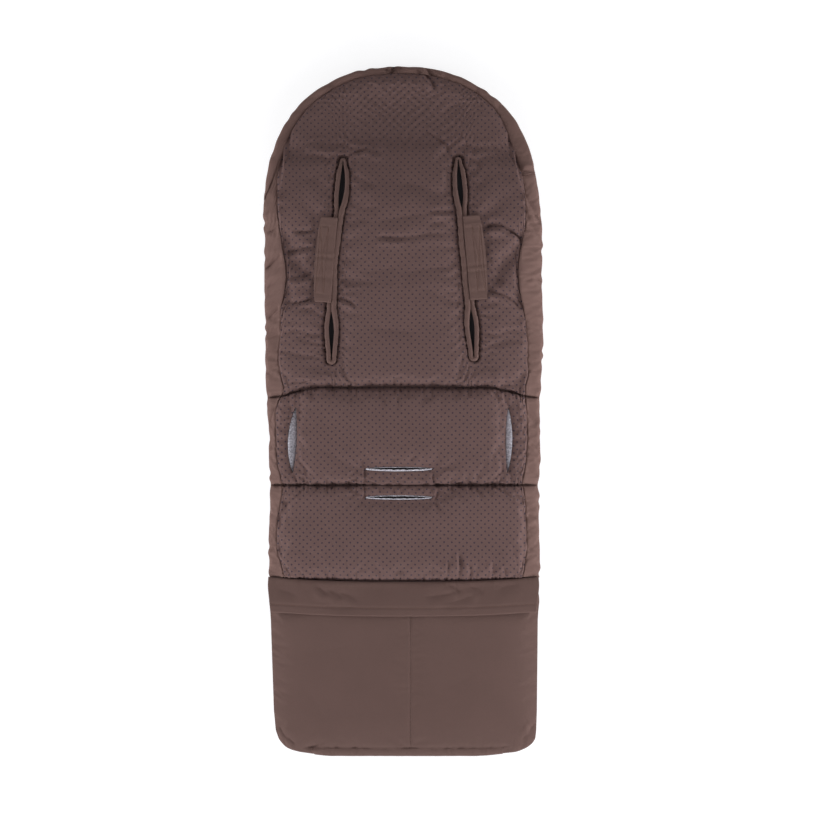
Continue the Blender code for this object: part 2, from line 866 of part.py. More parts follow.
def head_side(side, parent):
    """A smooth side strip of the head section, up to where the hood's rim begins."""
    rows = HEAD_ROWS + SIDE_TOP_ROWS

    def place(u, v):
        row = v * rows

        def across(y):
            inner = panel_half(y) + SEW_GAP / 2
            return SIDES[side] * mix(inner, outer_half(y), eased(u))

        arch_y = BORDER_ARCH_Y - SEW_GAP / 2
        if row <= HEAD_ROWS:
            y = mix(hip_end(across), arch_y, eased(row / HEAD_ROWS))
        else:
            y = mix(arch_y, RIM_END_Y, (row - HEAD_ROWS) / SIDE_TOP_ROWS)
        return across(y), y

    obj = padded(f"head_side_{side}", SIDE_COLUMNS, rows, place, mat_top, mat_low)
    return keep(obj, "smooth", parent)


def hood_rim(parent):
    """The smooth border round the hood, from one side strip over the top to the other."""

    def arc(share, base, half, depth):
        start = math.asin(((RIM_END_Y + SEW_GAP - base) / depth) ** (ARCH_SHARPNESS / 2))
        angle = mix(math.pi - start, start, share)
        turned = abs(math.cos(angle)) ** (2 / ARCH_SHARPNESS)
        x = math.copysign(half * turned, math.cos(angle))
        return x, base + depth * math.sin(angle) ** (2 / ARCH_SHARPNESS)

    def place(u, v):
        grown = SEW_GAP * (BORDER_HALF + BORDER_DEPTH) / BORDER_HALF / 2
        inner = arc(u, BORDER_ARCH_Y, BORDER_HALF + grown, BORDER_DEPTH + grown)
        outer = arc(u, ARCH_Y, HOOD_HALF_WIDTH, HOOD_DEPTH)
        return mix(inner[0], outer[0], eased(v)), mix(inner[1], outer[1], eased(v))

    obj = padded("hood_rim", 44, 4, place, mat_top, mat_low)
    return keep(obj, "smooth", parent)


def head_lining(parent):
    half = SEAT_HALF_WIDTH - LINING_INSET
    place = patch(
        lambda y: -half,
        lambda y: half,
        lower(hip_seam),
        lambda x: arch_top(x, BORDER_ARCH_Y, half, BORDER_DEPTH),
    )
    obj = padded("head_lining", PANEL_COLUMNS, HEAD_ROWS, place, lining_top, lining_low)
    return keep(obj, "fleece", parent)


# Hook-and-loop tabs


def tab_frame(side):
    """The tab's hinge line: its upper and lower ends, and the way outwards from it."""
    line = harness_line(side)
    high, low = Vector(line(TAB_START_SHARE)), Vector(line(TAB_END_SHARE))
    along = (high - low).normalized()
    outward = Vector((along.y, -along.x)) * SIDES[side]
    return high, low, outward


def tab_height(side):
    high, low, _ = tab_frame(side)
    middle = (high + low) / 2
    return mat_top(middle.x, middle.y) + 3 * SEW_GAP + 2 * PATCH_THICK + TAB_THICK / 2


def tab_sheet(name, side, first, last, margin, low, high, rows=6):
    """A thin piece over the mat, from first to last across the tab, at low to high above."""
    top_end, low_end, outward = tab_frame(side)
    along = (top_end - low_end).normalized()

    def place(u, v):
        start = low_end + along * margin
        end = top_end - along * margin
        spot = start.lerp(end, v) + outward * mix(first, last, u)
        return spot.x, spot.y

    return padded(
        name,
        3,
        rows,
        place,
        lambda x, y: mat_top(x, y) + high,
        lambda x, y: mat_top(x, y) + low,
    )


def closure_tab(side, parent):
    low = 3 * SEW_GAP + 2 * PATCH_THICK
    obj = tab_sheet(f"closure_tab_{side}", side, SEW_GAP, TAB_WIDTH, 0.0, low, low + TAB_THICK)
    return keep(obj, "smooth", parent)


def hook_patch(side, parent):
    low = 2 * SEW_GAP + PATCH_THICK
    end = TAB_WIDTH - PATCH_MARGIN
    high = low + PATCH_THICK
    name = f"hook_patch_{side}"
    obj = tab_sheet(name, side, PATCH_START, end, PATCH_MARGIN, low, high)
    return keep(obj, "loop", parent)


def loop_patch(side, parent):
    end = TAB_WIDTH - PATCH_MARGIN
    high = SEW_GAP + PATCH_THICK
    name = f"loop_patch_{side}"
    obj = tab_sheet(name, side, PATCH_START, end, PATCH_MARGIN, SEW_GAP, high)
    return keep(obj, "loop", parent)


# The foot bag


def toe_line(x, inset=0.0):
    """The toe end of the muff, or a line that far inside it."""
    half = FOOT_HALF_WIDTH - inset
    radius = TOE_RADIUS - inset
    past = min(max(abs(x) - (half - radius), 0.0), radius)
    return TOE_Y + inset + radius - math.sqrt(radius**2 - past**2)


def foot_edge_distance(x, y):
    """How far a point lies inside the foot bag's outline."""
    half = half_width(y)
    across, along = abs(x) - (half - TOE_RADIUS), TOE_Y + TOE_RADIUS - y
    if across > 0 and along > 0:
        return TOE_RADIUS - math.hypot(across, along)
    return min(half - abs(x), y - TOE_Y)


def foot_top(x, y):
    """The height of the foot bag's back."""
    crown = CROWN_Z - FOOT_CROWN_FALL - CROWN_FALL * (x / HOOD_HALF_WIDTH) ** 2
    edge = CROWN_Z - EDGE_TOP_FALL
    z = mix(edge, crown, rise(foot_edge_distance(x, y), EDGE_ROLL))
    z -= FOOT_END_FALL * (1 - rise(FOOT_PANEL_TOP_Y - y, FOOT_END_ROLL))
    z -= FOOT_SEAM_DIP * (1 - rise(abs(x - FOOT_SEAM_X), SIDE_DIP_REACH))
    toe_seam = abs(y - TOE_Y - TOE_STRIP_WIDTH)
    near = smooth((TOE_STRIP_HALF + SIDE_DIP_REACH - abs(x - TOE_STRIP_X)) / SIDE_DIP_REACH)
    return z - FOOT_SEAM_DIP * near * (1 - rise(toe_seam, SIDE_DIP_REACH))


def foot_low(x, y):
    lift = EDGE_LOW_RISE * (1 - rise(foot_edge_distance(x, y), LOW_ROLL))
    return MAT_LOW_Z + lift


def toe_notch():
    """A cutter that makes room for the toe strip between the two foot panels' corners."""
    place = patch(
        lambda y: TOE_STRIP_X - TOE_STRIP_HALF - SEW_GAP,
        lambda y: TOE_STRIP_X + TOE_STRIP_HALF + SEW_GAP,
        lambda x: TOE_Y - OVERRUN,
        lambda x: TOE_Y + TOE_STRIP_WIDTH + SEW_GAP,
    )
    made = padded(
        "toe_notch", 1, 1, place, lambda x, y: CROWN_Z, lambda x, y: COVER_THICK, CUTTERS
    )
    return helper(made)


def foot_panel(side, notch):
    """One half of the foot bag's smooth back."""
    seam_x = FOOT_SEAM_X + SEW_GAP / 2 * SIDES[side]
    left = (lambda y: -half_width(y), lambda y: seam_x)
    right = (lambda y: seam_x, half_width)
    closer_left = lambda t: 1 - math.cos(math.pi / 2 * t)
    closer_right = lambda t: math.sin(math.pi / 2 * t)
    place = patch(
        *(left if side == "left" else right),
        lambda x: toe_line(x),
        lambda x: FOOT_PANEL_TOP_Y,
        across=closer_left if side == "left" else closer_right,
    )
    obj = padded(f"foot_panel_{side}", 9, 11, place, foot_top, foot_low)
    combine(obj, notch, "DIFFERENCE")
    return keep(obj, "smooth", None)


def toe_strip():
    """The strip sewn across the toe end, where back and cover meet."""
    place = patch(
        lambda y: TOE_STRIP_X - TOE_STRIP_HALF,
        lambda y: TOE_STRIP_X + TOE_STRIP_HALF,
        lambda x: TOE_Y,
        lambda x: TOE_Y + TOE_STRIP_WIDTH,
    )
    obj = padded("toe_strip", 14, 5, place, foot_top, foot_low)
    return keep(obj, "smooth", None)


def foot_path(inset, steps=8):
    """The foot bag's outline, that far inside it, from its left side round to its right."""
    start = FOOT_SEAM_Y - STOP_LENGTH - 2 * RUN_GAP
    corner_y = TOE_Y + TOE_RADIUS
    left = []
    for step in range(steps + 1):
        y = mix(start, corner_y, step / steps)
        left.append((-(half_width(y) - inset), y))
    radius = TOE_RADIUS - inset
    centre = -(half_width(corner_y) - TOE_RADIUS)
    for step in range(1, steps + 1):
        angle = math.pi + math.pi / 2 * step / steps
        spot = (centre + radius * math.cos(angle), corner_y + radius * math.sin(angle))
        left.append(spot)
    right = [(-x, y) for x, y in reversed(left)]
    return left + right


def foot_gusset():
    """The upright strip that joins the foot bag's back to the front cover."""
    outer = foot_path(GUSSET_INSET)
    inner = foot_path(GUSSET_INSET + GUSSET_THICK)
    height = INSIDE_HEIGHT - 2 * SEW_GAP
    obj = extruded("foot_gusset", [outer + inner[::-1]], height)
    obj.location.z = ZIP_Z
    bpy.context.view_layer.update()
    return keep(obj, "smooth", None)


def foot_lining():
    place = patch(
        lambda y: -(FOOT_HALF_WIDTH - LINING_INSET),
        lambda y: FOOT_HALF_WIDTH - LINING_INSET,
        lambda x: toe_line(x, LINING_INSET),
        lambda x: FOOT_SEAM_Y - BINDING_THICK - 2 * SEW_GAP,
    )
    obj = padded("foot_lining", 10, 4, place, lining_top, lining_low)
    return keep(obj, "fleece", None)


def seam_binding():
    """The bound seam across the muff that carries the mat, the band and the foot zip."""
    half = FOOT_HALF_WIDTH - TAPE_THICK
    place = patch(
        lambda y: -half,
        lambda y: half,
        lambda x: BAND_HINGE_Y - BINDING_THICK,
        lambda x: BAND_HINGE_Y,
    )
    top = BAND_HINGE_Z - BAND_THICK - SEW_GAP
    obj = padded("seam_binding", 1, 1, place, lambda x, y: top, lambda x, y: MAT_LOW_Z)
    return keep(obj, "tape", None)


def band_top(x, y):
    return BAND_HINGE_Z + BAND_ROOT_RISE * rise(BAND_HINGE_Y - y, BAND_ROLL)


def band_flap(parent):
    """The smooth band that hangs over the foot zip."""
    place = patch(
        lambda y: -(half_width(y) + BAND_OVERHANG),
        lambda y: half_width(y) + BAND_OVERHANG,
        lambda x: BAND_HINGE_Y - BAND_WIDTH,
        lambda x: BAND_HINGE_Y,
    )
    obj = padded("band_flap", 16, 6, place, band_top, lambda x, y: band_top(x, y) - BAND_THICK)
    return keep(obj, "smooth", parent)


# The front cover


def cover_half(y):
    return half_width(y) - COVER_INSET


def cover_distance(x, y):
    inside = min(foot_edge_distance(x, y) - COVER_INSET, COVER_TOP_Y - y)
    return min(inside, cover_half(y) - abs(x))


def cover_top(x, y):
    return COVER_THICK - COVER_EDGE * (1 - rise(cover_distance(x, y), COVER_ROLL))


def cover_low(x, y):
    return COVER_EDGE * (1 - rise(cover_distance(x, y), COVER_ROLL))


def front_cover():
    """The padded cover, which the muff lies on here: flat below, rolled at its edges."""
    place = patch(
        lambda y: -cover_half(y),
        cover_half,
        lambda x: toe_line(x, COVER_INSET),
        lambda x: COVER_TOP_Y,
    )
    obj = padded("front_cover", PANEL_COLUMNS, 22, place, cover_top, cover_low)
    return keep(obj, "smooth", None)


def cover_lining():
    half = FOOT_HALF_WIDTH - COVER_INSET - LINING_INSET
    place = patch(
        lambda y: -half,
        lambda y: half,
        lambda x: toe_line(x, COVER_INSET + LINING_INSET),
        lambda x: COVER_TOP_Y - LINING_INSET,
    )
    top = COVER_THICK + SEW_GAP
    obj = padded(
        "cover_lining", 8, 4, place, lambda x, y: top + LINING_THICK, lambda x, y: top
    )
    return keep(obj, "fleece", None)


def cover_hem():
    """The turned hem along the cover's top edge."""
    middle = COVER_TOP_Y + SEW_GAP + HEM_WIDTH / 2
    centre_z = COVER_THICK / 2

    def bulge(y):
        return HEM_EDGE * math.sqrt(max(1 - ((y - middle) / HEM_WIDTH * 1.8) ** 2, 0.0))

    place = patch(
        lambda y: -cover_half(COVER_TOP_Y),
        lambda y: cover_half(COVER_TOP_Y),
        lambda x: COVER_TOP_Y + SEW_GAP,
        lambda x: COVER_TOP_Y + SEW_GAP + HEM_WIDTH,
        across=lambda t: t,
    )
    obj = padded(
        "cover_hem",
        12,
        4,
        place,
        lambda x, y: centre_z + bulge(y),
        lambda x, y: centre_z - bulge(y),
    )
    return keep(obj, "smooth", None)


# Zips. A zip's own frame has Y along the chain, X out of the tapes' plane and Z across it


def zip_profile(way, tape_end):
    """The section of one half of a zip: coil at the middle, tape out to tape_end."""
    near = way * COIL_GAP / 2
    far = way * (COIL_GAP / 2 + COIL_HEIGHT)
    coil, tape = COIL_THICK / 2, TAPE_THICK / 2
    return [
        (-coil, near),
        (coil, near),
        (coil, far),
        (tape, far),
        (tape, way * tape_end),
        (-tape, way * tape_end),
        (-tape, far),
        (-coil, far),
    ]


ALONG_Y = Matrix.Rotation(math.pi / 2, 4, "X")


def bar(name, outlines, first, last, frame, collection=None):
    """An extrusion of an (X, Z) section from first to last along the chain."""
    obj = extruded(name, outlines, last - first, collection)
    middle = Matrix.Translation((0.0, (first + last) / 2, 0.0))
    obj.data.transform(frame @ middle @ ALONG_Y)
    return obj


def side_zip_frame(side):
    """Outwards is the zip's X on both sides of the muff."""
    turned = Matrix.Rotation(math.pi if side == "left" else 0.0, 4, "Y")
    return Matrix.Translation((SIDES[side] * ZIP_X, 0.0, ZIP_Z)) @ turned


def foot_zip_frame():
    """The chain runs along the muff's X, and outwards is up."""
    axes = Matrix(((0, 1, 0), (0, 0, 1), (1, 0, 0))).to_4x4()
    return Matrix.Translation((0.0, FOOT_ZIP_Y, FOOT_ZIP_Z)) @ axes


def block(half_x, z_low, z_high):
    return [(-half_x, z_low), (half_x, z_low), (half_x, z_high), (-half_x, z_high)]


def cover_zip_strip(side):
    """The cover's half of a side zip, with its box at the foot end and stop at the top."""
    name = f"cover_zip_{side}"
    frame = side_zip_frame(side)
    way = SIDES[side]
    tape_end = INSIDE_HEIGHT / 2 - SEW_GAP
    first = FOOT_SEAM_Y - STOP_LENGTH
    section = zip_profile(-1 if way == 1 else 1, tape_end)
    obj = bar(name, [section], first, ZIP_TOP_Y + STOP_LENGTH, frame)
    low = -(SLIDER_HALF - SEW_GAP) if way == 1 else SEW_GAP
    high = -SEW_GAP if way == 1 else SLIDER_HALF - SEW_GAP
    ends = ((first - RUN_GAP, FOOT_SEAM_Y), (ZIP_TOP_Y, ZIP_TOP_Y + STOP_LENGTH + RUN_GAP))
    for number, (start, end) in enumerate(ends):
        outline = block(STOP_HALF_THICK, low, high)
        stop = bar(f"{name}_stop_{number}", [outline], start, end, frame, CUTTERS)
        combine(obj, helper(stop), "UNION")
    return keep(obj, "tape", None)


def mat_zip_strip(section, side, parent):
    """One mat section's half of a side zip."""
    spans = {
        "legs": (SLIDER_Y + SLIDER_LENGTH / 2 + RUN_GAP * 3, KNEE_SEAM_Y - SEW_GAP),
        "seat": (KNEE_SEAM_Y + SEW_GAP, HIP_SEAM_Y - HIP_SEAM_SAG - SEW_GAP),
        "head": (HIP_HINGE_Y + SEW_GAP, ZIP_TOP_Y),
    }
    tape_end = INSIDE_HEIGHT / 2 - SEW_GAP
    profile = zip_profile(SIDES[side], tape_end)
    obj = bar(f"{section}_zip_{side}", [profile], *spans[section], side_zip_frame(side))
    return keep(obj, "tape", parent)


def foot_zip_strips():
    """The two halves of the foot zip: one on the bound seam, one on the foot panels."""
    frame = foot_zip_frame()
    seam_end = FOOT_SEAM_Y - 2 * SEW_GAP - BINDING_THICK - FOOT_ZIP_Y
    toe_end = FOOT_ZIP_Y - FOOT_PANEL_TOP_Y - SEW_GAP
    made = []
    for name, way, end in (("seam", 1, seam_end), ("toe", -1, toe_end)):
        profile = zip_profile(way, end)
        obj = bar(f"foot_zip_{name}_side", [profile], -FOOT_ZIP_HALF, FOOT_ZIP_HALF, frame)
        made.append(keep(obj, "tape", None))
    return made


def slider_body(name, frame, y, parent):
    """A slider: two lipped plates, the bridge between them, and the bail for its puller."""
    inside = COIL_THICK / 2 + RUN_GAP
    outside = inside + SLIDER_WALL
    lip_x = TAPE_THICK / 2 + RUN_GAP
    lip_z = SLIDER_HALF - SLIDER_LIP
    plate = [
        (outside, -SLIDER_HALF),
        (outside, SLIDER_HALF),
        (lip_x, SLIDER_HALF),
        (lip_x, lip_z),
        (inside, lip_z),
        (inside, -lip_z),
        (lip_x, -lip_z),
        (lip_x, -SLIDER_HALF),
    ]
    back = [(-x, z) for x, z in reversed(plate)]
    first, last = y - SLIDER_LENGTH / 2, y + SLIDER_LENGTH / 2
    obj = bar(name, [plate], first, last, frame)
    back_plate = bar(name + "_back", [back], first, last, frame, CUTTERS)
    bridge_half = COIL_GAP / 2 - RUN_GAP
    reach = (inside + outside) / 2
    bridge_outline = block(reach, -bridge_half, bridge_half)
    bridge = bar(name + "_bridge", [bridge_outline], last - BRIDGE_LENGTH, last, frame, CUTTERS)
    combine(obj, helper(bridge), "UNION")
    combine(obj, helper(back_plate), "UNION")
    root = (inside + outside) / 2
    gap_top = outside + BAIL_REACH - BAIL_LEG
    leg = BAIL_HALF - BAIL_LEG
    arch = [
        (root, -BAIL_HALF),
        (outside + BAIL_REACH, -BAIL_HALF),
        (outside + BAIL_REACH, BAIL_HALF),
        (root, BAIL_HALF),
        (root, leg),
        (gap_top, leg),
        (gap_top, -leg),
        (root, -leg),
    ]
    bail = extruded(name + "_bail", [arch], BAIL_THICK, CUTTERS)
    bail.data.transform(frame @ Matrix.Translation((0.0, y, 0.0)))
    combine(obj, helper(bail), "UNION")
    return keep(obj, "slider", parent)


def puller_axis_x():
    """Where the puller's bar lies in the bail, out from the zip's plane."""
    outside = COIL_THICK / 2 + RUN_GAP + SLIDER_WALL
    return outside + (BAIL_REACH - BAIL_LEG) / 2


def zip_puller(name, frame, y, parent):
    """The pull tab: a plate whose end bar lies in the bail, pointing towards the toes."""
    bar_half = PULLER_BAR / 2
    tip = -PULLER_LENGTH
    steps = 6
    outline = [(PULLER_HALF, bar_half), (-PULLER_HALF, bar_half)]
    for step in range(steps + 1):
        angle = math.pi + math.pi * step / steps
        across = PULLER_HALF * math.cos(angle)
        outline.append((across, tip + PULLER_HALF + PULLER_HALF * math.sin(angle)))
    eye = [
        (-PULLER_EYE_HALF, -bar_half),
        (PULLER_EYE_HALF, -bar_half),
        (PULLER_EYE_HALF, -PULLER_EYE_LENGTH),
        (-PULLER_EYE_HALF, -PULLER_EYE_LENGTH),
    ]
    obj = extruded(name, [outline, eye], PULLER_BAR)
    upright = Matrix(((0, 0, 1), (0, 1, 0), (-1, 0, 0))).to_4x4()
    place = Matrix.Translation((puller_axis_x(), y, 0.0))
    obj.data.transform(frame @ place @ upright)
    return keep(obj, "slider", parent)


# Putting the muff together


def build_foot_bag():
    front_cover()
    cover_lining()
    cover_hem()
    notch = toe_notch()
    for side in SIDES:
        foot_panel(side, notch)
        cover_zip_strip(side)
    toe_strip()
    foot_gusset()
    foot_lining()
    seam_binding()
    foot_zip_strips()


def build_legs(body):
    hole = crotch_hole("legs")
    combine(section_panel("legs", body), hole, "DIFFERENCE")
    combine(section_lining("legs", body), hole, "DIFFERENCE")
    crotch_facing("legs", body)
    for side in SIDES:
        section_side("legs", side, body)
        mat_zip_strip("legs", side, body)


def build_seat(body):
    panel, lining = section_panel("seat", body), section_lining("seat", body)
    hole = crotch_hole("seat")
    combine(panel, hole, "DIFFERENCE")
    combine(lining, hole, "DIFFERENCE")
    crotch_facing("seat", body)
    for side in SIDES:
        hole = lap_hole(side)
        combine(panel, hole, "DIFFERENCE")
        combine(lining, hole, "DIFFERENCE")
        lap_facing(side, body)
        section_side("seat", side, body)
        mat_zip_strip("seat", side, body)


def build_head(body):
    panel, lining = head_panel(body), head_lining(body)
    hood_rim(body)
    for side in SIDES:
        groove, hole, gap = harness_cutters(side)
        combine(panel, groove, "DIFFERENCE")
        combine(panel, hole, "DIFFERENCE")
        combine(lining, hole, "DIFFERENCE")
        harness_facing(side, gap, body)
        harness_welt(side, body)
        head_side(side, body)
        loop_patch(side, body)
        mat_zip_strip("head", side, body)
        high, low, _ = tab_frame(side)
        middle = (high + low) / 2
        turn = joint_empty(f"tab_axis_{side}", (*middle, tab_height(side)), body)
        closure_tab(side, turn)
        hook_patch(side, turn)


def build_sliders():
    for side, way in SIDES.items():
        frame = side_zip_frame(side)
        slide = joint_empty(f"slider_path_{side}", (way * ZIP_X, SLIDER_Y, ZIP_Z))
        slider_body(f"zip_slider_{side}", frame, SLIDER_Y, slide)
        place = (way * (ZIP_X + puller_axis_x()), SLIDER_Y, ZIP_Z)
        turn = joint_empty(f"puller_axis_{side}", place, slide)
        zip_puller(f"zip_puller_{side}", frame, SLIDER_Y, turn)
    start = -FOOT_ZIP_HALF + SLIDER_LENGTH / 2 + RUN_GAP
    slide = joint_empty("foot_slider_path", (start, FOOT_ZIP_Y, FOOT_ZIP_Z))
    slider_body("foot_zip_slider", foot_zip_frame(), start, slide)
    place = (start, FOOT_ZIP_Y, FOOT_ZIP_Z + puller_axis_x())
    turn = joint_empty("foot_puller_axis", place, slide)
    zip_puller("foot_zip_puller", foot_zip_frame(), start, turn)


def build_muff():
    build_foot_bag()
    legs = joint_empty("mat_lift_axis", (0.0, FOOT_SEAM_Y, HINGE_Z))
    seat = joint_empty("knee_fold_axis", (0.0, KNEE_SEAM_Y, HINGE_Z), legs)
    head = joint_empty("hip_fold_axis", (0.0, HIP_HINGE_Y, HINGE_Z), seat)
    build_legs(legs)
    build_seat(seat)
    build_head(head)
    band_flap(joint_empty("band_axis", (0.0, BAND_HINGE_Y, BAND_HINGE_Z)))
    build_sliders()
    CUTTERS.hide_render = True


build_muff()
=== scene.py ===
"""Stroller footmuff lying face down on a white table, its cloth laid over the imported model."""

import math

import bmesh
import bpy
import numpy as np
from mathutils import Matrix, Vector


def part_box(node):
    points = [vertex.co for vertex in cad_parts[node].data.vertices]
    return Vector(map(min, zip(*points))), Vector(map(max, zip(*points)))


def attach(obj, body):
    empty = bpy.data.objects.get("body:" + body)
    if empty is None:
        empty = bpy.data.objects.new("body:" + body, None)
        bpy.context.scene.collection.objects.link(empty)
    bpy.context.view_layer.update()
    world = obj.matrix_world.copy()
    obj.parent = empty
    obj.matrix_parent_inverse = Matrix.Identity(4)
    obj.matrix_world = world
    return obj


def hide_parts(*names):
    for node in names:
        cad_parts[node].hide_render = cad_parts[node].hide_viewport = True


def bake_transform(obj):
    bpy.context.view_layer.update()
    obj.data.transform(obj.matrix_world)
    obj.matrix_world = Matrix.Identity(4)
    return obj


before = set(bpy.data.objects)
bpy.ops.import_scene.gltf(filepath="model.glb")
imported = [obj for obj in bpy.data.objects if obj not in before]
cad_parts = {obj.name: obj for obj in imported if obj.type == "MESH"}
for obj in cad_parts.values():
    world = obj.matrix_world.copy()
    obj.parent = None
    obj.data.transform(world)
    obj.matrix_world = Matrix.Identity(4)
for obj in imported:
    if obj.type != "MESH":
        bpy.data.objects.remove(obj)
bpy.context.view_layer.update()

# The camera
# It hangs straight over the muff with the hood end up in the picture, far enough off
# that the thick mat hardly leans outwards at its ends.

bpy.ops.object.select_all(action="DESELECT")
bpy.ops.object.camera_add(location=(0.0116, -0.0007, 3.355), rotation=(0, 0, 0))
camera = bpy.context.object
camera.data.lens = 100
camera.data.sensor_width = 36
bpy.context.scene.camera = camera


# The front cover
# It is a padded brown panel that the muff lies on, with rolled edges and a turned hem across
# its top. Its inner side is lined with grey fleece, which shows when the mat is lifted.


def smooth(t):
    """0 to 1 with a level start and end."""
    t = np.clip(t, 0.0, 1.0)
    return t * t * (3 - 2 * t)


def rise(distance, reach, fullness=2.0):
    """A quarter round: 0 at no distance, 1 at the reach and beyond. Less full is flatter."""
    t = np.clip(distance / reach, 0.0, 1.0)
    return (1 - (1 - t) ** fullness) ** (1 / fullness)


def mix(a, b, t):
    return a + (b - a) * t


def eased(t):
    """Spacing that is closer together near both ends."""
    return 0.5 - 0.5 * np.cos(np.pi * t)


def partly_eased(t):
    return mix(t, eased(t), 0.65)


TOE_Y, TOE_RADIUS = -0.500, 0.027
FOOT_SEAM_Y, KNEE_SEAM_Y, HIP_SEAM_Y, HIP_DIP = -0.2465, -0.1075, 0.0345, 0.015
ARCH_Y, ARCH_SHARPNESS = 0.284, 2.25
TOE_HALF, SEAM_HALF, MAT_HALF, ARCH_DEPTH = 0.190, 0.195, 0.201, 0.216
GAP = 0.00004


def level(value):
    """A side, an end or a face that stays at one value."""
    return lambda x, y=0.0: value + 0 * x


foot_seam, knee_seam = level(FOOT_SEAM_Y), level(KNEE_SEAM_Y)


def hip_seam(x):
    return HIP_SEAM_Y - HIP_DIP * smooth((np.abs(x) - 0.1131) / 0.0819)


def pinch(y):
    """How far the outline is drawn in near the ends of the cross seams."""
    ends = (FOOT_SEAM_Y, KNEE_SEAM_Y, HIP_SEAM_Y - HIP_DIP)
    return 0.0012 * sum(np.exp(-(((y - end) / 0.009) ** 2)) for end in ends)


def half_width(y):
    """Half the muff's width, below the hood's arch."""
    grown = mix(SEAM_HALF, MAT_HALF, smooth((y - HIP_SEAM_Y) / (ARCH_Y - HIP_SEAM_Y)))
    shrunk = mix(SEAM_HALF, TOE_HALF, smooth((FOOT_SEAM_Y - y) / 0.060))
    return np.where(y >= HIP_SEAM_Y, grown, shrunk) - pinch(y)


def arch_half(y, base, half, depth):
    t = np.clip((y - base) / depth, 0.0, 1.0)
    return half * (1 - t**ARCH_SHARPNESS) ** (1 / ARCH_SHARPNESS)


def arch_top(x, base, half, depth):
    t = np.clip(np.abs(x) / half, 0.0, 1.0)
    return base + depth * (1 - t**ARCH_SHARPNESS) ** (1 / ARCH_SHARPNESS)


def toe_line(x, inset=0.0):
    """The toe end of the muff, or a line that far inside it."""
    half, radius = TOE_HALF - inset, TOE_RADIUS - inset
    past = np.clip(np.abs(x) - (half - radius), 0.0, radius)
    return TOE_Y + inset + radius - np.sqrt(radius**2 - past**2)


def foot_edge_distance(x, y):
    """How far a point lies inside the foot bag's outline."""
    half = half_width(y)
    across, along = np.abs(x) - (half - TOE_RADIUS), TOE_Y + TOE_RADIUS - y
    corner = TOE_RADIUS - np.hypot(np.maximum(across, 0), np.maximum(along, 0))
    plain = np.minimum(half - np.abs(x), y - TOE_Y)
    return np.where((across > 0) & (along > 0), corner, plain)


def ripple(along, pitch, turn):
    """An uneven wave between -1 and 1, as gathered cloth makes along a seam."""
    t = along / pitch
    bent = t + 0.31 * np.sin(1.9 * t + turn) + 0.22 * np.sin(4.3 * t + 2.1 * turn)
    size = 0.62 + 0.38 * np.sin(1.37 * t + 3.7 * turn)
    return np.sin(2 * np.pi * bent + turn) * size


def between(left, right, first, last, spaced_across=eased, spaced_along=None):
    """Lays a net out between two sides x(y) and two ends y(x)."""

    def place(u, v):
        u = spaced_across(u) if spaced_across else u
        v = spaced_along(v) if spaced_along else v
        x = np.zeros_like(u)
        for _ in range(12):
            y = mix(first(x), last(x), v)
            x = mix(left(y), right(y), u)
        return x, mix(first(x), last(x), v)

    return place


def net(name, columns, rows):
    """A flat closed net: an upper and a lower face of columns by rows, joined round the edge."""
    bpy.ops.object.select_all(action="DESELECT")
    bpy.ops.mesh.primitive_grid_add(x_subdivisions=columns, y_subdivisions=rows, size=1)
    piece = bpy.context.object
    piece.name = piece.data.name = name
    bpy.ops.object.mode_set(mode="EDIT")
    bpy.ops.mesh.select_all(action="SELECT")
    bpy.ops.mesh.extrude_region_move(TRANSFORM_OT_translate={"value": (0, 0, -1)})
    bpy.ops.object.mode_set(mode="OBJECT")
    spots = points_of(piece)
    upper = spots[:, 2] > -0.5
    return piece, spots[:, 0] + 0.5, spots[:, 1] + 0.5, upper


def points_of(piece):
    spots = np.zeros(len(piece.data.vertices) * 3)
    piece.data.vertices.foreach_get("co", spots)
    return spots.reshape(-1, 3)


def set_points(piece, spots):
    piece.data.vertices.foreach_set("co", np.ascontiguousarray(spots, float).ravel())
    piece.data.update()


def shaped(piece, spots):
    """Moves a closed piece's points, and turns its faces outwards."""
    set_points(piece, spots)
    bpy.ops.object.select_all(action="DESELECT")
    piece.select_set(True)
    bpy.context.view_layer.objects.active = piece
    bpy.ops.object.mode_set(mode="EDIT")
    bpy.ops.mesh.select_all(action="SELECT")
    bpy.ops.mesh.normals_make_consistent(inside=False)
    bpy.ops.object.mode_set(mode="OBJECT")


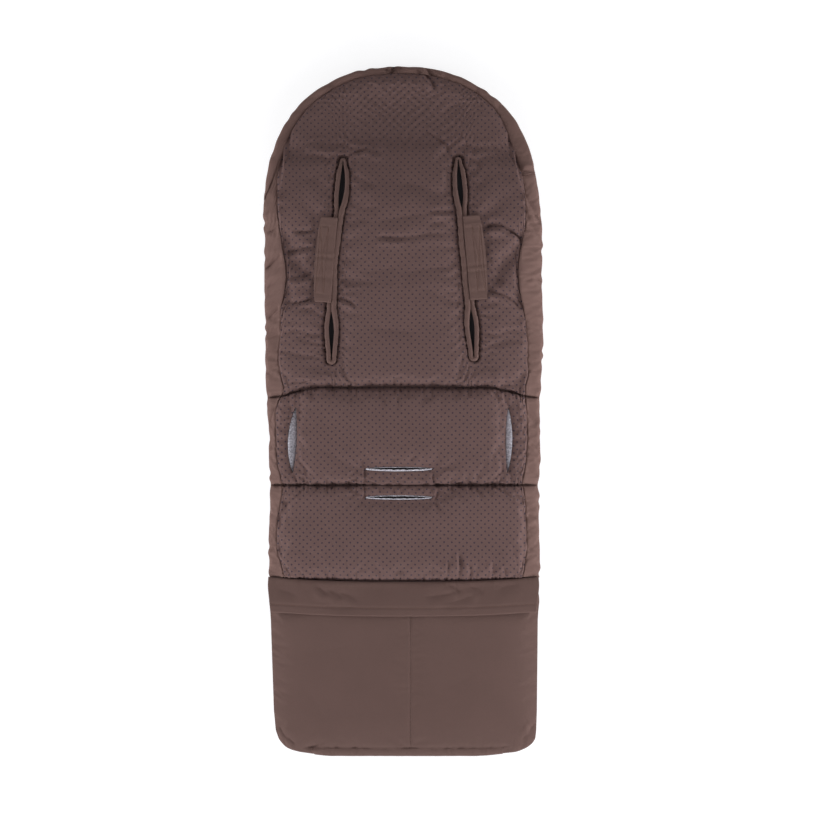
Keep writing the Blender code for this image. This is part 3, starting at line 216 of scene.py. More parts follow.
def swelling(place, top, low, columns, rows, slack, held):
    """How far Cloth moves the back of a pad whose seams and underside are held."""
    piece, u, v, upper = net("swelling", columns, rows)
    x, y = place(u, v)
    shaped(piece, np.stack([x, y, np.where(upper, top(x, y), low(x, y))], 1))
    border = (u < 0.001) | (u > 0.999) | (v < 0.001) | (v > 0.999)
    grip = np.where(~upper | border, 1.0, held(x, y) if held else 0.0)
    group = piece.vertex_groups.new(name="held")
    for step in range(1, 11):
        chosen = np.nonzero(np.round(grip * 10) == step)[0]
        group.add([int(i) for i in chosen], step / 10, "REPLACE")
    cloth = piece.modifiers.new("swell", "CLOTH")
    cloth.settings.vertex_group_mass = "held"
    cloth.settings.quality = 4
    cloth.settings.use_pressure = True
    cloth.settings.uniform_pressure_force = 4
    cloth.settings.effector_weights.gravity = 0
    cloth.settings.shrink_min = -slack
    cloth.settings.tension_stiffness = 8
    cloth.settings.compression_stiffness = 8
    cloth.settings.bending_stiffness = 0.15
    cloth.point_cache.frame_start, cloth.point_cache.frame_end = 1, 24
    for number in range(1, 21):
        bpy.context.scene.frame_set(number)
    before = points_of(piece)
    bpy.ops.object.modifier_apply(modifier="swell")
    moved = (points_of(piece) - before)[upper]
    bpy.context.scene.frame_set(1)
    field = np.zeros((rows + 1, columns + 1, 3))
    field[np.rint(v[upper] * rows).astype(int), np.rint(u[upper] * columns).astype(int)] = moved
    bpy.data.objects.remove(piece)
    return field


def spread_out(field, u, v):
    """That movement at any share across and along, rounded off between its points."""
    rows, columns = field.shape[0] - 1, field.shape[1] - 1

    def weights(t, count):
        spot = np.clip(t * count, 0, count - 1e-6)
        cell = np.floor(spot).astype(int)
        f = spot - cell
        near = [np.clip(cell + k, 0, count) for k in (-1, 0, 1, 2)]
        share = [
            (-f + 2 * f**2 - f**3) / 2,
            (2 - 5 * f**2 + 3 * f**3) / 2,
            (f + 4 * f**2 - 3 * f**3) / 2,
            (f**3 - f**2) / 2,
        ]
        return near, share

    across, across_share = weights(u, columns)
    along, along_share = weights(v, rows)
    made = np.zeros((len(u), 3))
    for j in range(4):
        for i in range(4):
            made += field[along[j], across[i]] * (along_share[j] * across_share[i])[:, None]
    return made


def cushioned(
    name,
    place,
    top,
    low,
    size,
    coarse=None,
    slack=0.01,
    held=None,
    cap=0.006,
    relief=None,
    drawn=None,
):
    """A pad: its back is swelled by Cloth on a coarse net, then finished on a fine one."""
    piece, u, v, upper = net(name, *size)
    x, y = place(u, v)
    spots = np.stack([x, y, np.where(upper, top(x, y), low(x, y))], 1)
    if coarse:
        field = swelling(place, top, low, *coarse, slack, held)
        far = np.linalg.norm(field, axis=2, keepdims=True)
        field *= np.tanh(far / cap) * cap / np.maximum(far, 1e-9)
        spots[upper] += spread_out(field, u[upper], v[upper])
    if relief:
        spots[upper, 2] += relief(x[upper], y[upper])
    if drawn:
        spots[:, 0], spots[:, 1] = drawn(spots[:, 0], spots[:, 1])
    shaped(piece, spots)
    piece.data.shade_smooth()
    return piece


# How far the toe end's left and right edge lie to the right of the pattern, in millimetres.
TOE_SHIFT = [
    (-0.500, 27.0, -7.0), (-0.496, 19.5, -7.0), (-0.492, 15.2, -4.4), (-0.484, 12.0, -0.8),
    (-0.477, 9.1, 1.3), (-0.463, 4.6, 2.7), (-0.434, 1.9, 3.6), (-0.390, 0.4, 4.0),
    (-0.345, -1.2, 4.5), (-0.300, -2.7, 4.9),
]


def read_off(table, t):
    """The table's columns at that height or angle."""
    first, *others = zip(*table)
    return [np.interp(t, first, column) for column in others]


def toe_drawn(x, y):
    """The sewn toe end is rounder than its pattern, most at the left corner."""
    near = np.exp(-np.maximum(y - TOE_Y, 0) / 0.0158)
    left, right = read_off(TOE_SHIFT, y)
    share = np.clip(np.abs(x) / 0.19, 0, 1) ** 3 * smooth((-0.250 - y) / 0.03)
    lift = 0.0055 * smooth((np.abs(x) - 0.104) / 0.079) * near
    return x + 0.001 * share * np.where(x < 0, left, right), y + lift


COVER_INSET, COVER_TOP_Y = 0.006, 0.265
COVER_THICK, COVER_ROLL = 0.016, 0.005


def cover_half(y):
    return half_width(y) - COVER_INSET


def cover_distance(x, y):
    inside = np.minimum(foot_edge_distance(x, y) - COVER_INSET, COVER_TOP_Y - y)
    return np.minimum(inside, cover_half(y) - np.abs(x))


def cover_roll(x, y):
    """How far the cover's faces turn in at its edge."""
    return COVER_ROLL * (1 - rise(cover_distance(x, y), 0.012))


def cover_wrinkle(x, y):
    near = np.exp(-np.maximum(cover_distance(x, y), 0) / 0.010)
    side = np.abs(x) > np.abs(cover_half(y)) - 0.02
    return 0.0008 * near * ripple(np.where(side, y, x), 0.017, 1.3)


class Shade:
    """A value on its way through a material, so that its sums can be written as sums."""

    def __init__(self, tree, socket=None):
        self.tree, self.socket = tree, socket

    def node(self, kind, settings=None, values=None, out=0):
        made = self.tree.nodes.new(kind)
        for name, value in (settings or {}).items():
            setattr(made, name, value)
        for where, value in (values or {}).items():
            if isinstance(value, Shade):
                self.tree.links.new(value.socket, made.inputs[where])
            else:
                made.inputs[where].default_value = value
        return Shade(self.tree, made.outputs[out])

    def to(self, shader, name):
        self.tree.links.new(self.socket, shader.inputs[name])

    def sum(self, operation, *values):
        return self.node("ShaderNodeMath", {"operation": operation}, dict(enumerate(values)))

    def __add__(self, other):
        return self.sum("ADD", self, other)

    __radd__ = __add__

    def __sub__(self, other):
        return self.sum("SUBTRACT", self, other)

    def __rsub__(self, other):
        return self.sum("SUBTRACT", other, self)

    def __mul__(self, other):
        return self.sum("MULTIPLY", self, other)

    __rmul__ = __mul__

    def __truediv__(self, other):
        return self.sum("DIVIDE", self, other)

    def stepped(self, low, high):
        """0 below low and 1 above high, with a smooth way between."""
        values = {"Value": self, "From Min": low, "From Max": high, "To Min": 0.0, "To Max": 1.0}
        kind = {"interpolation_type": "SMOOTHSTEP"}
        return self.node("ShaderNodeMapRange", kind, values)

    def toned(self, dark, light):
        """A colour between two, by this value."""
        values = {"Factor": self, 6: (*dark, 1), 7: (*light, 1)}
        return self.node("ShaderNodeMix", {"data_type": "RGBA"}, values, 2)

    def over(self, below, colour):
        """colour where this is 1, over the colour below."""
        values = {"Factor": self, 6: below, 7: (*colour, 1)}
        return self.node("ShaderNodeMix", {"data_type": "RGBA"}, values, 2)


def finish(name):
    """An empty material: the material, its shader and a Shade to start sums from."""
    made = bpy.data.materials.new(name)
    made.use_nodes = True
    shader = made.node_tree.nodes["Principled BSDF"]
    return made, shader, Shade(made.node_tree)


def place_on(shade):
    """Object coordinates, whole and as x, y and z."""
    spot = shade.node("ShaderNodeTexCoord", None, None, 3)
    parts = [shade.node("ShaderNodeSeparateXYZ", None, {0: spot}, k) for k in range(3)]
    return spot, *parts


def noise(shade, spot, scale, detail=3.0, roughness=0.55):
    values = {"Vector": spot, "Scale": scale, "Detail": detail, "Roughness": roughness}
    return shade.node("ShaderNodeTexNoise", None, values)


def bumped(shade, height, strength, distance):
    values = {"Height": height, "Strength": strength, "Distance": distance}
    return shade.node("ShaderNodeBump", None, values)


def weave(shade, x, y, pitch):
    """Crossing threads, over and under, that far apart."""
    turns = 2 * math.pi / pitch
    across = shade.sum("SINE", x * turns)
    along = shade.sum("SINE", y * turns)
    return across * along * 0.5 + 0.5


def soften(shader, sheen, tint, gloss):
    """The soft sheen of brushed cloth, the same all over."""
    shader.inputs["Sheen Weight"].default_value = sheen
    shader.inputs["Sheen Roughness"].default_value = 0.45
    shader.inputs["Sheen Tint"].default_value = (*tint, 1)
    shader.inputs["Specular IOR Level"].default_value = gloss


def smooth_cloth(name, tone=1.0):
    """Brushed brown microfibre: a fine weave, cloudy shade and a soft sheen."""
    made, shader, shade = finish(name)
    spot, x, y, z = place_on(shade)
    cloud = noise(shade, spot, 26.0, 3.0)
    fine = noise(shade, spot, 900.0, 2.0)
    thread = weave(shade, x + z * 0.7, y + z * 0.7, 0.0012)
    light = [c * tone for c in (0.124, 0.072, 0.063)]
    dark = [c * tone for c in (0.103, 0.060, 0.052)]
    value = (cloud * 0.22 + fine * 0.55 + thread * 0.23).stepped(0.25, 0.75)
    value.toned(dark, light).to(shader, "Base Color")
    (0.74 + fine * 0.16).to(shader, "Roughness")
    height = thread * 0.25 + fine * 0.35 + noise(shade, spot, 130.0, 3.0) * 0.5
    bumped(shade, height, 0.35, 0.0009).to(shader, "Normal")
    soften(shader, 0.14, (0.72, 0.52, 0.48), 0.25)
    return made


def fleece_cloth(name):
    """Grey pile fleece: short curled fibre that shades in small tufts."""
    made, shader, shade = finish(name)
    spot = place_on(shade)[0]
    tufts = noise(shade, spot, 420.0, 5.0, 0.7)
    curls = shade.node("ShaderNodeTexVoronoi", None, {"Vector": spot, "Scale": 330.0})
    value = (tufts * 0.7 + curls * 0.6).stepped(0.25, 0.95)
    value.toned((0.350, 0.336, 0.388), (0.660, 0.635, 0.710)).to(shader, "Base Color")
    height = tufts * 0.8 + curls * 0.7 + noise(shade, spot, 90.0) * 0.8
    bumped(shade, height, 0.7, 0.002).to(shader, "Normal")
    shader.inputs["Roughness"].default_value = 0.95
    shader.inputs["Sheen Weight"].default_value = 0.4
    shader.inputs["Specular IOR Level"].default_value = 0.15
    return made


brown = smooth_cloth("brown_microfibre")
grey_fleece = fleece_cloth("grey_fleece")
# Painted shade: a darker copy of the same brown cloth for the foot bag's back, toe strip and zip
# band, standing for the weaker light on their upward faces.
shaded_foot_brown = smooth_cloth("brown_microfibre_shaded_foot", 0.915)

front_cover = cushioned(
    "front_cover_pad",
    between(
        lambda y: -cover_half(y),
        cover_half,
        lambda x: toe_line(x, COVER_INSET),
        level(COVER_TOP_Y),
    ),
    lambda x, y: COVER_THICK - cover_roll(x, y),
    cover_roll,
    (110, 180),
    relief=cover_wrinkle,
    drawn=toe_drawn,
)
front_cover.data.materials.append(brown)
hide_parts("front_cover")
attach(front_cover, "foot_bag")


HEM_Y, HEM_Z, HEM_HALF, HEM_BULGE = 0.2683, 0.008, 0.003, 0.004


def hem_bulge(y):
    """How far the hem's round faces stand from its middle."""
    return HEM_BULGE * np.sqrt(np.maximum(1 - ((y - HEM_Y) / (1.1 * HEM_HALF)) ** 2, 0.0))


cover_top_half = cover_half(np.array(COVER_TOP_Y))
cover_hem = cushioned(
    "cover_hem_fold",
    between(
        level(-cover_top_half),
        level(cover_top_half),
        level(HEM_Y - HEM_HALF),
        level(HEM_Y + HEM_HALF),
        spaced_across=None,
        spaced_along=eased,
    ),
    lambda x, y: HEM_Z + hem_bulge(y) * (1 + 0.12 * ripple(x, 0.012, 0.4)),
    lambda x, y: HEM_Z - hem_bulge(y),
    (160, 10),
)
cover_hem.data.materials.append(brown)
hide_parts("cover_hem")
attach(cover_hem, "foot_bag")

COVER_FACE_Z, COVER_PILE_Z = 0.0163, 0.0178
COVER_FLEECE_HALF, COVER_FLEECE_INSET, COVER_FLEECE_TOP_Y = 0.166, 0.024, 0.247
cover_fleece = cushioned(
    "cover_fleece",
    between(
        level(-COVER_FLEECE_HALF),
        level(COVER_FLEECE_HALF),
        lambda x: toe_line(x, COVER_FLEECE_INSET),
        level(COVER_FLEECE_TOP_Y),
        spaced_across=None,
    ),
    lambda x, y: COVER_PILE_Z + 0.0003 * ripple(x + y, 0.031, 0.2) * ripple(y - x, 0.043, 0.9),
    level(COVER_FACE_Z),
    (80, 150),
    drawn=toe_drawn,
)
cover_fleece.data.materials.append(grey_fleece)
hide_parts("cover_lining")
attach(cover_fleece, "foot_bag")


# The foot bag's back
# Two smooth panels meet in a seam down the middle and roll over the bag's edge. A strip is sewn
# across their toe end, an upright strip joins them to the cover, and fleece lines them.

CROWN_Z, FOOT_CROWN_Z, FOOT_EDGE_Z = 0.054, 0.048, 0.0375
FOOT_PANEL_TOP_Y = -0.2662
TOE_STRIP_X, TOE_STRIP_HALF, TOE_STRIP_WIDE = 0.0035, 0.1435, 0.012
SEAM_X = 0.010
LINING_LOW_Z, LINING_TOP_Z, UNDERSIDE_Z = 0.0262, 0.0277, 0.028


def mat_underside(distance):
    """The underside of the foot bag's back and the mat, that far inside their edge."""
    return UNDERSIDE_Z + 0.007 * (1 - rise(distance, 0.012))


def foot_top(x, y):
    """The height of the foot bag's back."""
    inside = foot_edge_distance(x, y)
    crown = FOOT_CROWN_Z - 0.0025 * (x / MAT_HALF) ** 2
    dome = smooth(0.5 + 0.5 * inside / 0.060) * 2 - 1
    z = mix(FOOT_EDGE_Z, crown, 0.40 * rise(inside, 0.014) + 0.60 * dome)
    z = z - 0.005 * (1 - rise(FOOT_PANEL_TOP_Y - y, 0.045))
    z = z - 0.0009 * (1 - rise(np.abs(x - SEAM_X), 0.0025))
    near = smooth((TOE_STRIP_HALF + 0.010 - np.abs(x - TOE_STRIP_X)) / 0.010)
    return z - 0.0030 * near * (1 - rise(np.abs(y - TOE_Y - TOE_STRIP_WIDE), 0.008))


def creased(x, y, strokes):
    """Creases, each from a point to another, that wide and deep, all in millimetres."""
    made = np.zeros_like(x)
    for stroke in strokes:
        x0, y0, x1, y1, wide, deep = (0.001 * v for v in stroke)
        length = math.hypot(x1 - x0, y1 - y0)
        way = ((x1 - x0) / length, (y1 - y0) / length)
        t = ((x - x0) * way[0] + (y - y0) * way[1]) / length
        bend = 0.10 * length * np.sin(np.pi * np.clip(t, 0, 1)) * math.sin(900 * x0 + 700 * y1)
        off = ((x - x0) * way[1] - (y - y0) * way[0] + bend) / wide
        ends = smooth(t / 0.35) * smooth((1 - t) / 0.35)
        valley = np.exp(-1.6 * np.abs(off) * np.where(off < 0, 0.55, 1.0))
        hump = np.exp(-(((off - 2.4) / 1.5) ** 2)) + 0.3 * np.exp(-(((off + 4.0) / 2.5) ** 2))
        made = made + deep * ends * (0.55 * hump - valley)
    return made


FOOT_CREASES = [
    (-186, -455, -176, -478, 3.5, 1.6),
    (-178, -472, -164, -486, 3.0, 1.8),
    (-158, -490, -124, -482, 2.6, 1.8),
    (-142, -493, -112, -478, 3.0, 1.4),
    (190, -452, 178, -470, 3.0, 1.5),
    (186, -468, 168, -476, 3.0, 1.0),
    (10, -484, 30, -474, 2.5, 0.9),
    (10, -486, -8, -478, 2.5, 0.7),
    (40, -420, 110, -380, 22, 0.9),
    (-150, -390, -110, -470, 20, 1.0),
    (-60, -330, -160, -350, 20, 0.8),
]


def foot_relief(x, y):
    """Gathers along the foot bag's seams and edge, slow waves, and its creases."""
    seam = np.abs(x - SEAM_X)
    made = 0.0003 * np.exp(-seam / 0.008) * ripple(y, 0.017, 0.7)
    toe = np.maximum(y - TOE_Y - TOE_STRIP_WIDE, 0)
    made = made + 0.0004 * np.exp(-toe / 0.010) * ripple(x, 0.013, 2.2)
    edge = np.maximum(foot_edge_distance(x, y), 0)
    made = made + 0.0005 * np.exp(-edge / 0.010) * ripple(y + x * 0.6, 0.022, 1.1)
    made = made + 0.0006 * np.sin(y / 0.043 + 5 * x) * np.sin(x / 0.039 + 1.0)
    return made + creased(x, y, FOOT_CREASES)


for side, left, right, closer_to_edge in (
    (
        "left",
        lambda y: -half_width(y),
        level(SEAM_X - GAP / 2),
        lambda t: 1 - np.cos(np.pi / 2 * t),
    ),
    ("right", level(SEAM_X + GAP / 2), half_width, lambda t: np.sin(np.pi / 2 * t)),
):
    foot_panel = cushioned(
        f"foot_back_{side}",
        between(left, right, toe_line, level(FOOT_PANEL_TOP_Y), closer_to_edge),
        foot_top,
        lambda x, y: mat_underside(foot_edge_distance(x, y)),
        (110, 150),
        (38, 44),
        slack=0.003,
        cap=0.002,
        relief=foot_relief,
        drawn=toe_drawn,
    )
    foot_panel.data.materials.append(shaded_foot_brown)
    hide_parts(f"foot_panel_{side}")
    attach(foot_panel, "foot_bag")

toe_strip = cushioned(
    "toe_strip_fold",
    between(
        level(TOE_STRIP_X - TOE_STRIP_HALF),
        level(TOE_STRIP_X + TOE_STRIP_HALF),
        level(TOE_Y - 0.0006),
        level(TOE_Y + TOE_STRIP_WIDE),
        spaced_across=None,
    ),
    lambda x, y: foot_top(x, y) + 0.0008 + 0.0003 * ripple(x, 0.016, 0.6) + foot_relief(x, y),
    level(0.029),
    (150, 14),
    drawn=toe_drawn,
)
toe_strip.data.materials.append(shaded_foot_brown)
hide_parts("toe_strip")
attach(toe_strip, "foot_bag")

GUSSET_INSET, GUSSET_THICK, GUSSET_BULGE = 0.0134, 0.0015, 0.0075
GUSSET_HALF, GUSSET_END_Y = 0.1935, -0.2536


def foot_outline(share, inset):
    """A point of the foot bag's outline, that far inside it, from one side round to the other."""
    half, radius = GUSSET_HALF - inset, TOE_RADIUS - inset + 0.004
    side, bend = GUSSET_END_Y - TOE_Y - inset - radius, radius * np.pi / 2
    floor = 2 * (half - radius)
    run = share * (2 * side + 2 * bend + floor)
    back = 2 * side + 2 * bend + floor - run
    mirrored = run > back
    run = np.minimum(run, back)
    turn = np.clip((run - side) / radius, 0, np.pi / 2)
    along = np.maximum(run - side - bend, 0)
    x = -half + radius * (1 - np.cos(turn)) + along
    y = np.where(run < side, GUSSET_END_Y - run, TOE_Y + inset + radius * (1 - np.sin(turn)))
    return np.where(mirrored, -x, x), y


gusset, u, v, upper = net("foot_side_strip", 260, 12)
bulge = GUSSET_BULGE * np.sin(np.pi * v) ** 0.7 * (1 + 0.12 * ripple(u, 0.021, 0.9))
x, y = foot_outline(u, GUSSET_INSET + np.where(upper, 0, GUSSET_THICK) - bulge)
x, y = toe_drawn(x, y)
shaped(gusset, np.stack([x, y, mix(COVER_FACE_Z, LINING_TOP_Z, v)], 1))
gusset.data.shade_smooth()
gusset.data.materials.append(brown)
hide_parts("foot_gusset")
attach(gusset, "foot_bag")

FLEECE_HALF, FLEECE_TOE_Y, FLEECE_TOP_Y = 0.172, -0.4815, -0.2490
foot_fleece = cushioned(
    "foot_fleece",
    between(
        level(-FLEECE_HALF),
        level(FLEECE_HALF),
        level(FLEECE_TOE_Y),
        level(FLEECE_TOP_Y),
        spaced_across=None,
    ),
    level(LINING_TOP_Z),
    lambda x, y: LINING_LOW_Z + 0.0002 * ripple(x + y, 0.029, 0.4) * ripple(y - x, 0.037, 0.3),
    (80, 60),
    drawn=toe_drawn,
)
foot_fleece.data.materials.append(grey_fleece)
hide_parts("foot_lining")
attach(foot_fleece, "foot_bag")


# The mat's legs and seat
# Each is a padded middle panel of anti-slip cloth, printed with small rubber dots, between two
# smooth side strips that roll over the mat's edge. Fleece lines them and lips their slots.


PANEL_HALF, PANEL_WAVE = 0.176, 0.006


def side_seam(y):
    """Half the width of the anti-slip panel, below its arch."""
    head = PANEL_HALF + PANEL_WAVE * np.cos(2 * np.pi * (y - 0.0885) / 0.2099)
    seat_run = (y - KNEE_SEAM_Y) / (HIP_SEAM_Y - KNEE_SEAM_Y)
    legs_run = (y - FOOT_SEAM_Y) / (KNEE_SEAM_Y - FOOT_SEAM_Y)
    seat = PANEL_HALF + PANEL_WAVE * np.sin(np.pi * np.clip(seat_run, 0, 1))
    legs = PANEL_HALF + PANEL_WAVE * np.sin(np.pi * np.clip(legs_run, 0, 1))
    return np.where(y >= HIP_SEAM_Y, head, np.where(y >= KNEE_SEAM_Y, seat, legs))


BORDER_ARCH_Y, BORDER_DEPTH = 0.306, 0.184
BORDER_HALF = float(side_seam(np.array([BORDER_ARCH_Y]))[0])


def edge_distance(x, y):
    """How far a point lies inside the mat's outline."""
    up = np.maximum(y - ARCH_Y, 0) / ARCH_DEPTH
    across = (np.abs(x) / MAT_HALF) ** ARCH_SHARPNESS + up**ARCH_SHARPNESS
    arch = (1 - across ** (1 / ARCH_SHARPNESS)) * MAT_HALF
    return np.where(y > ARCH_Y, arch, half_width(y) - np.abs(x))


def border_distance(x, y):
    """How far a point lies from the seam round the anti-slip panel."""
    up = np.maximum(y - BORDER_ARCH_Y, 0) / BORDER_DEPTH
    across = (np.abs(x) / BORDER_HALF) ** ARCH_SHARPNESS + up**ARCH_SHARPNESS
    arch = np.abs(1 - across ** (1 / ARCH_SHARPNESS)) * BORDER_DEPTH
    return np.where(y > BORDER_ARCH_Y, arch, np.abs(side_seam(y) - np.abs(x)))


HOOD_DROP_Y, HOOD_DROP, HOOD_DROP_REACH = 0.275, 0.0259, 0.185


def hood_drop(y):
    """How far the hood end of the mat sinks to the table, past the cover's top."""
    return HOOD_DROP * smooth((y - HOOD_DROP_Y) / HOOD_DROP_REACH)


def seam_distance(x, y):
    return np.minimum(
        np.minimum(np.abs(y - FOOT_SEAM_Y), np.abs(y - KNEE_SEAM_Y)), np.abs(y - hip_seam(x))
    )


MAT_EDGE_Z, SEAM_Z, STRIP_SEAM_Z, SEAM_GROOVE = 0.0405, 0.0435, 0.0415, 0.0050
GATHER_PITCH = 0.0075
CROTCH_X, CROTCH_HALF_LENGTH, CROTCH_HALF = -0.0065, 0.049, 0.0030
CROTCH_Y = {"seat": -0.084, "legs": -0.125}


def flat_patch(x, y):
    """Between the two crotch slots the quilt lies flat over the knee seam."""
    across = smooth((CROTCH_HALF_LENGTH + 0.002 - np.abs(x - CROTCH_X)) / 0.005)
    return across * smooth((0.022 - np.abs(y - KNEE_SEAM_Y)) / 0.006)


def gathered(x):
    """The cross seams' gathers, as a share of their groove's reach."""
    return 1 + 0.35 * ripple(x, GATHER_PITCH, 0.6)


def mat_top(x, y):
    """The height of the mat's padded back."""
    patch = flat_patch(x, y)
    crown = CROWN_Z - 0.004 * (x / MAT_HALF) ** 2
    z = mix(MAT_EDGE_Z, crown, rise(edge_distance(x, y), 0.024, 1.45))
    gathers = gathered(x)
    seam = seam_distance(x, y)
    z = mix(np.minimum(z, SEAM_Z + 0.0030 * patch), z, rise(seam, 0.012 * gathers))
    groove = (1 - smooth(seam / (0.0030 * gathers * (1 - 0.5 * patch)))) * (1 - 0.72 * patch)
    z = z - SEAM_GROOVE * groove * smooth(edge_distance(x, y) / 0.012)
    away = border_distance(x, y)
    side = 0.0018 * (1 - rise(away, 0.007)) + 0.0012 * (1 - smooth(away / 0.0014))
    border = 0.0032 * (1 - rise(away, 0.011))
    z = z - mix(side, border, smooth((y - BORDER_ARCH_Y) / 0.014))
    return z - hood_drop(y)


def strip_top(x, y):
    """The side strips slope evenly from their seam down to the mat's edge."""
    inside = edge_distance(x, y)
    z = MAT_EDGE_Z + 0.0085 * np.clip(inside / 0.021, 0, 1.2) + 0.0020 * rise(inside, 0.005)
    gathers = gathered(x)
    seam = seam_distance(x, y)
    z = mix(np.minimum(z, STRIP_SEAM_Z), z, rise(seam, 0.010 * gathers))
    z = z - SEAM_GROOVE * (1 - smooth(seam / (0.0030 * gathers))) * smooth(inside / 0.012)
    return z - 0.0012 * (1 - smooth(border_distance(x, y) / 0.0014)) - hood_drop(y)


def mat_low(x, y):
    return mat_underside(edge_distance(x, y)) - hood_drop(y)


# Where the sewn muff differs from its pattern: height or angle, then the shift in millimetres
# outwards, at the left and right edge, round the hood, and at the anti-slip panel's seam.
SIDE_SHIFT = [
    (-0.242, 0.2, 2.8), (-0.216, 0.6, 2.9), (-0.173, -0.3, 1.5), (-0.129, -1.9, 1.7),
    (-0.107, -0.6, 1.5), (-0.086, -1.3, 3.2), (-0.042, -0.4, 3.2), (-0.020, 0.0, 2.8),
    (0.001, 2.8, 2.3), (0.023, 3.8, 4.2), (0.045, 4.4, 3.9), (0.067, 5.2, 5.7),
    (0.089, 3.3, 6.4), (0.132, 3.5, 5.5), (0.176, 3.0, 2.3), (0.219, 1.2, 0.3),
    (0.263, 0.9, 1.2), (0.284, 1.9, -1.7),
]
HOOD_SHIFT = [
    (0, -1.7), (6, -3.3), (13, -4.5), (19, -4.3), (25, -2.5), (32, -1.9), (38, -0.2), (49, 0),
    (57, 0.2), (65, 0.7), (74, 1.5), (85, 2.5), (100, 3.0), (109, 4.3), (120, 4.6),
    (133, 6.2), (143, 4.8), (149, 4.2), (156, 3.2), (162, 1.9), (168, 1.7), (180, 1.9),
]
PANEL_SHIFT = [
    (-0.241, 4.6, -5.5), (-0.200, -1.6, -4.3), (-0.150, -1.4, -5), (-0.112, 2, -4),
    (-0.105, 0.5, -6), (-0.080, -3, -5), (-0.040, -3.4, -4.5), (0.000, -3, -3.5),
    (0.015, 0, -4), (0.024, 5, -3.3), (0.050, 4, -1), (0.076, 3.5, -6), (0.108, 5.5, -6),
    (0.151, -1, -3), (0.194, 1, -4.3), (0.237, -1, -4.3), (0.277, 1, -3.4),
    (0.345, 0, -4), (0.390, 0, 0),
]


def bowed(x):
    """The seam above the foot bag, and the band in it, bow up towards both ends."""
    return 0.0062 * (np.abs(x) / SEAM_HALF) ** 2.4 - 0.0007


def drawn(x, y):
    """The cloth is drawn in unevenly along the outline, and over the hood's right shoulder."""
    way = np.sign(x)
    edge = np.exp(-np.maximum(edge_distance(x, y), 0) / 0.014)
    below = 1 - smooth((y - ARCH_Y) / 0.03)
    shift = 0.0011 * way * edge * below * ripple(y, 0.036, 0.4 + way)
    turn = np.arctan2(y - ARCH_Y, x)
    swell = 0.0035 * edge * (1 - below) * ripple(turn * 0.2, 0.040, 2.2)
    shoulder = np.exp(-(((y - 0.394) / 0.044) ** 2)) * smooth((x - 0.08) / 0.07)
    shoulder = shoulder * smooth(edge_distance(x, y) / 0.016)
    seam = np.where(x < 0, *read_off(PANEL_SHIFT, y))
    seam = seam * np.exp(-(((np.abs(x) - side_seam(y)) / 0.012) ** 2))
    seam = seam * smooth(edge_distance(x, y) / 0.012)
    x = x + shift + swell * x - 0.0105 * shoulder + 0.001 * seam
    y = y + swell * (y - ARCH_Y)
    sides = np.where(x < 0, *read_off(SIDE_SHIFT, y))
    hood = read_off(HOOD_SHIFT, np.degrees(turn))[0]
    out = 0.001 * np.exp(-np.maximum(edge_distance(x, y), 0) / 0.040)
    out = out * np.where(y > ARCH_Y, hood, sides)
    turn = np.where(y > ARCH_Y, turn, np.where(x < 0, np.pi, 0.0))
    lift = bowed(x) * np.exp(-np.maximum(y - FOOT_SEAM_Y, 0) / 0.045)
    return x + out * np.cos(turn), y + out * np.sin(turn) + lift


def drawn_along(x, y):
    """A lining follows the bowed seam, but not the sides."""
    return x, drawn(x, y)[1]


EDGE_CREASES = [
    (178, 324, 199, 260, 3.0, 2.2),
    (180, 300, 199, 250, 2.4, 1.6),
    (190, 286, 200, 275, 1.6, 1.6),
    (179, 268, 199, 250, 2.6, 2.0),
    (181, 236, 202, 235, 2.2, 1.6),
    (174, 188, 190, 196, 2.6, 1.6),
    (186, 196, 201, 183, 2.8, 2.2),
    (179, 134, 201, 104, 3.6, 2.0),
    (182, 90, 198, 74, 3.0, 1.0),
    (-177, 274, -200, 257, 2.8, 1.8),
    (-172, 229, -200, 203, 3.4, 2.8),
    (-185, 214, -200, 206, 2.2, 1.8),
    (-171, 200, -198, 178, 3.6, 2.2),
    (-173, 156, -201, 124, 3.4, 3.0),
    (-178, 112, -198, 100, 3.4, 1.2),
    (-176, 66, -200, 52, 4.0, 1.2),
    (-178, 10, -196, -22, 4.0, 2.2),
    (-184, -44, -196, -72, 4.0, 1.6),
    (-180, -118, -196, -140, 4.0, 1.6),
    (-182, -190, -196, -214, 4.0, 1.6),
    (178, 6, 196, -24, 4.0, 2.4),
    (184, -46, 197, -66, 3.0, 2.0),
    (180, -78, 196, -98, 4.0, 1.8),
    (182, -150, 197, -156, 3.0, 2.0),
    (178, -196, 197, -216, 4.0, 1.8),
]


def edge_relief(x, y):
    """Slanting folds of the side strips, and small puckers along their seams."""
    way = np.sign(x)
    seam = seam_distance(x, y)
    across = np.clip(border_distance(x, y) / 0.018, 0, 1)
    made = 0.0008 * across * ripple(y - way * 0.55 * x, 0.041, 1.4 * way)
    made = made + 0.0004 * (1 - across) * ripple(y, 0.014, 2.9 + way)
    made = made + 0.0007 * across**2 * ripple(y + way * 0.4 * x, 0.022, 0.3 + way)
    made = made + 0.0005 * np.exp(-seam / 0.006) * ripple(x, GATHER_PITCH, 1.6)
    return (made + creased(x, y, EDGE_CREASES)) * smooth(seam / 0.006)


def section_relief(x, y):
    """Gathers out of the seams, and the padding's slow unevenness."""
    seam = seam_distance(x, y)
    made = 0.0010 * np.exp(-seam / 0.012) * smooth(seam / 0.003) * ripple(x + 0.2 * y, 0.017, 0.5)
    made = made + 0.0007 * np.exp(-seam / 0.005) * ripple(x, GATHER_PITCH, 1.6)
    made = made * (1 - 0.8 * flat_patch(x, y))
    border = border_distance(x, y)
    made = made + 0.0009 * np.exp(-border / 0.012) * smooth(border / 0.003) * ripple(y, 0.016, 1.9)
    return made + 0.0009 * np.sin(x / 0.033 + 2 * np.sin(y / 0.05)) * np.sin(y / 0.027 + x / 0.06)


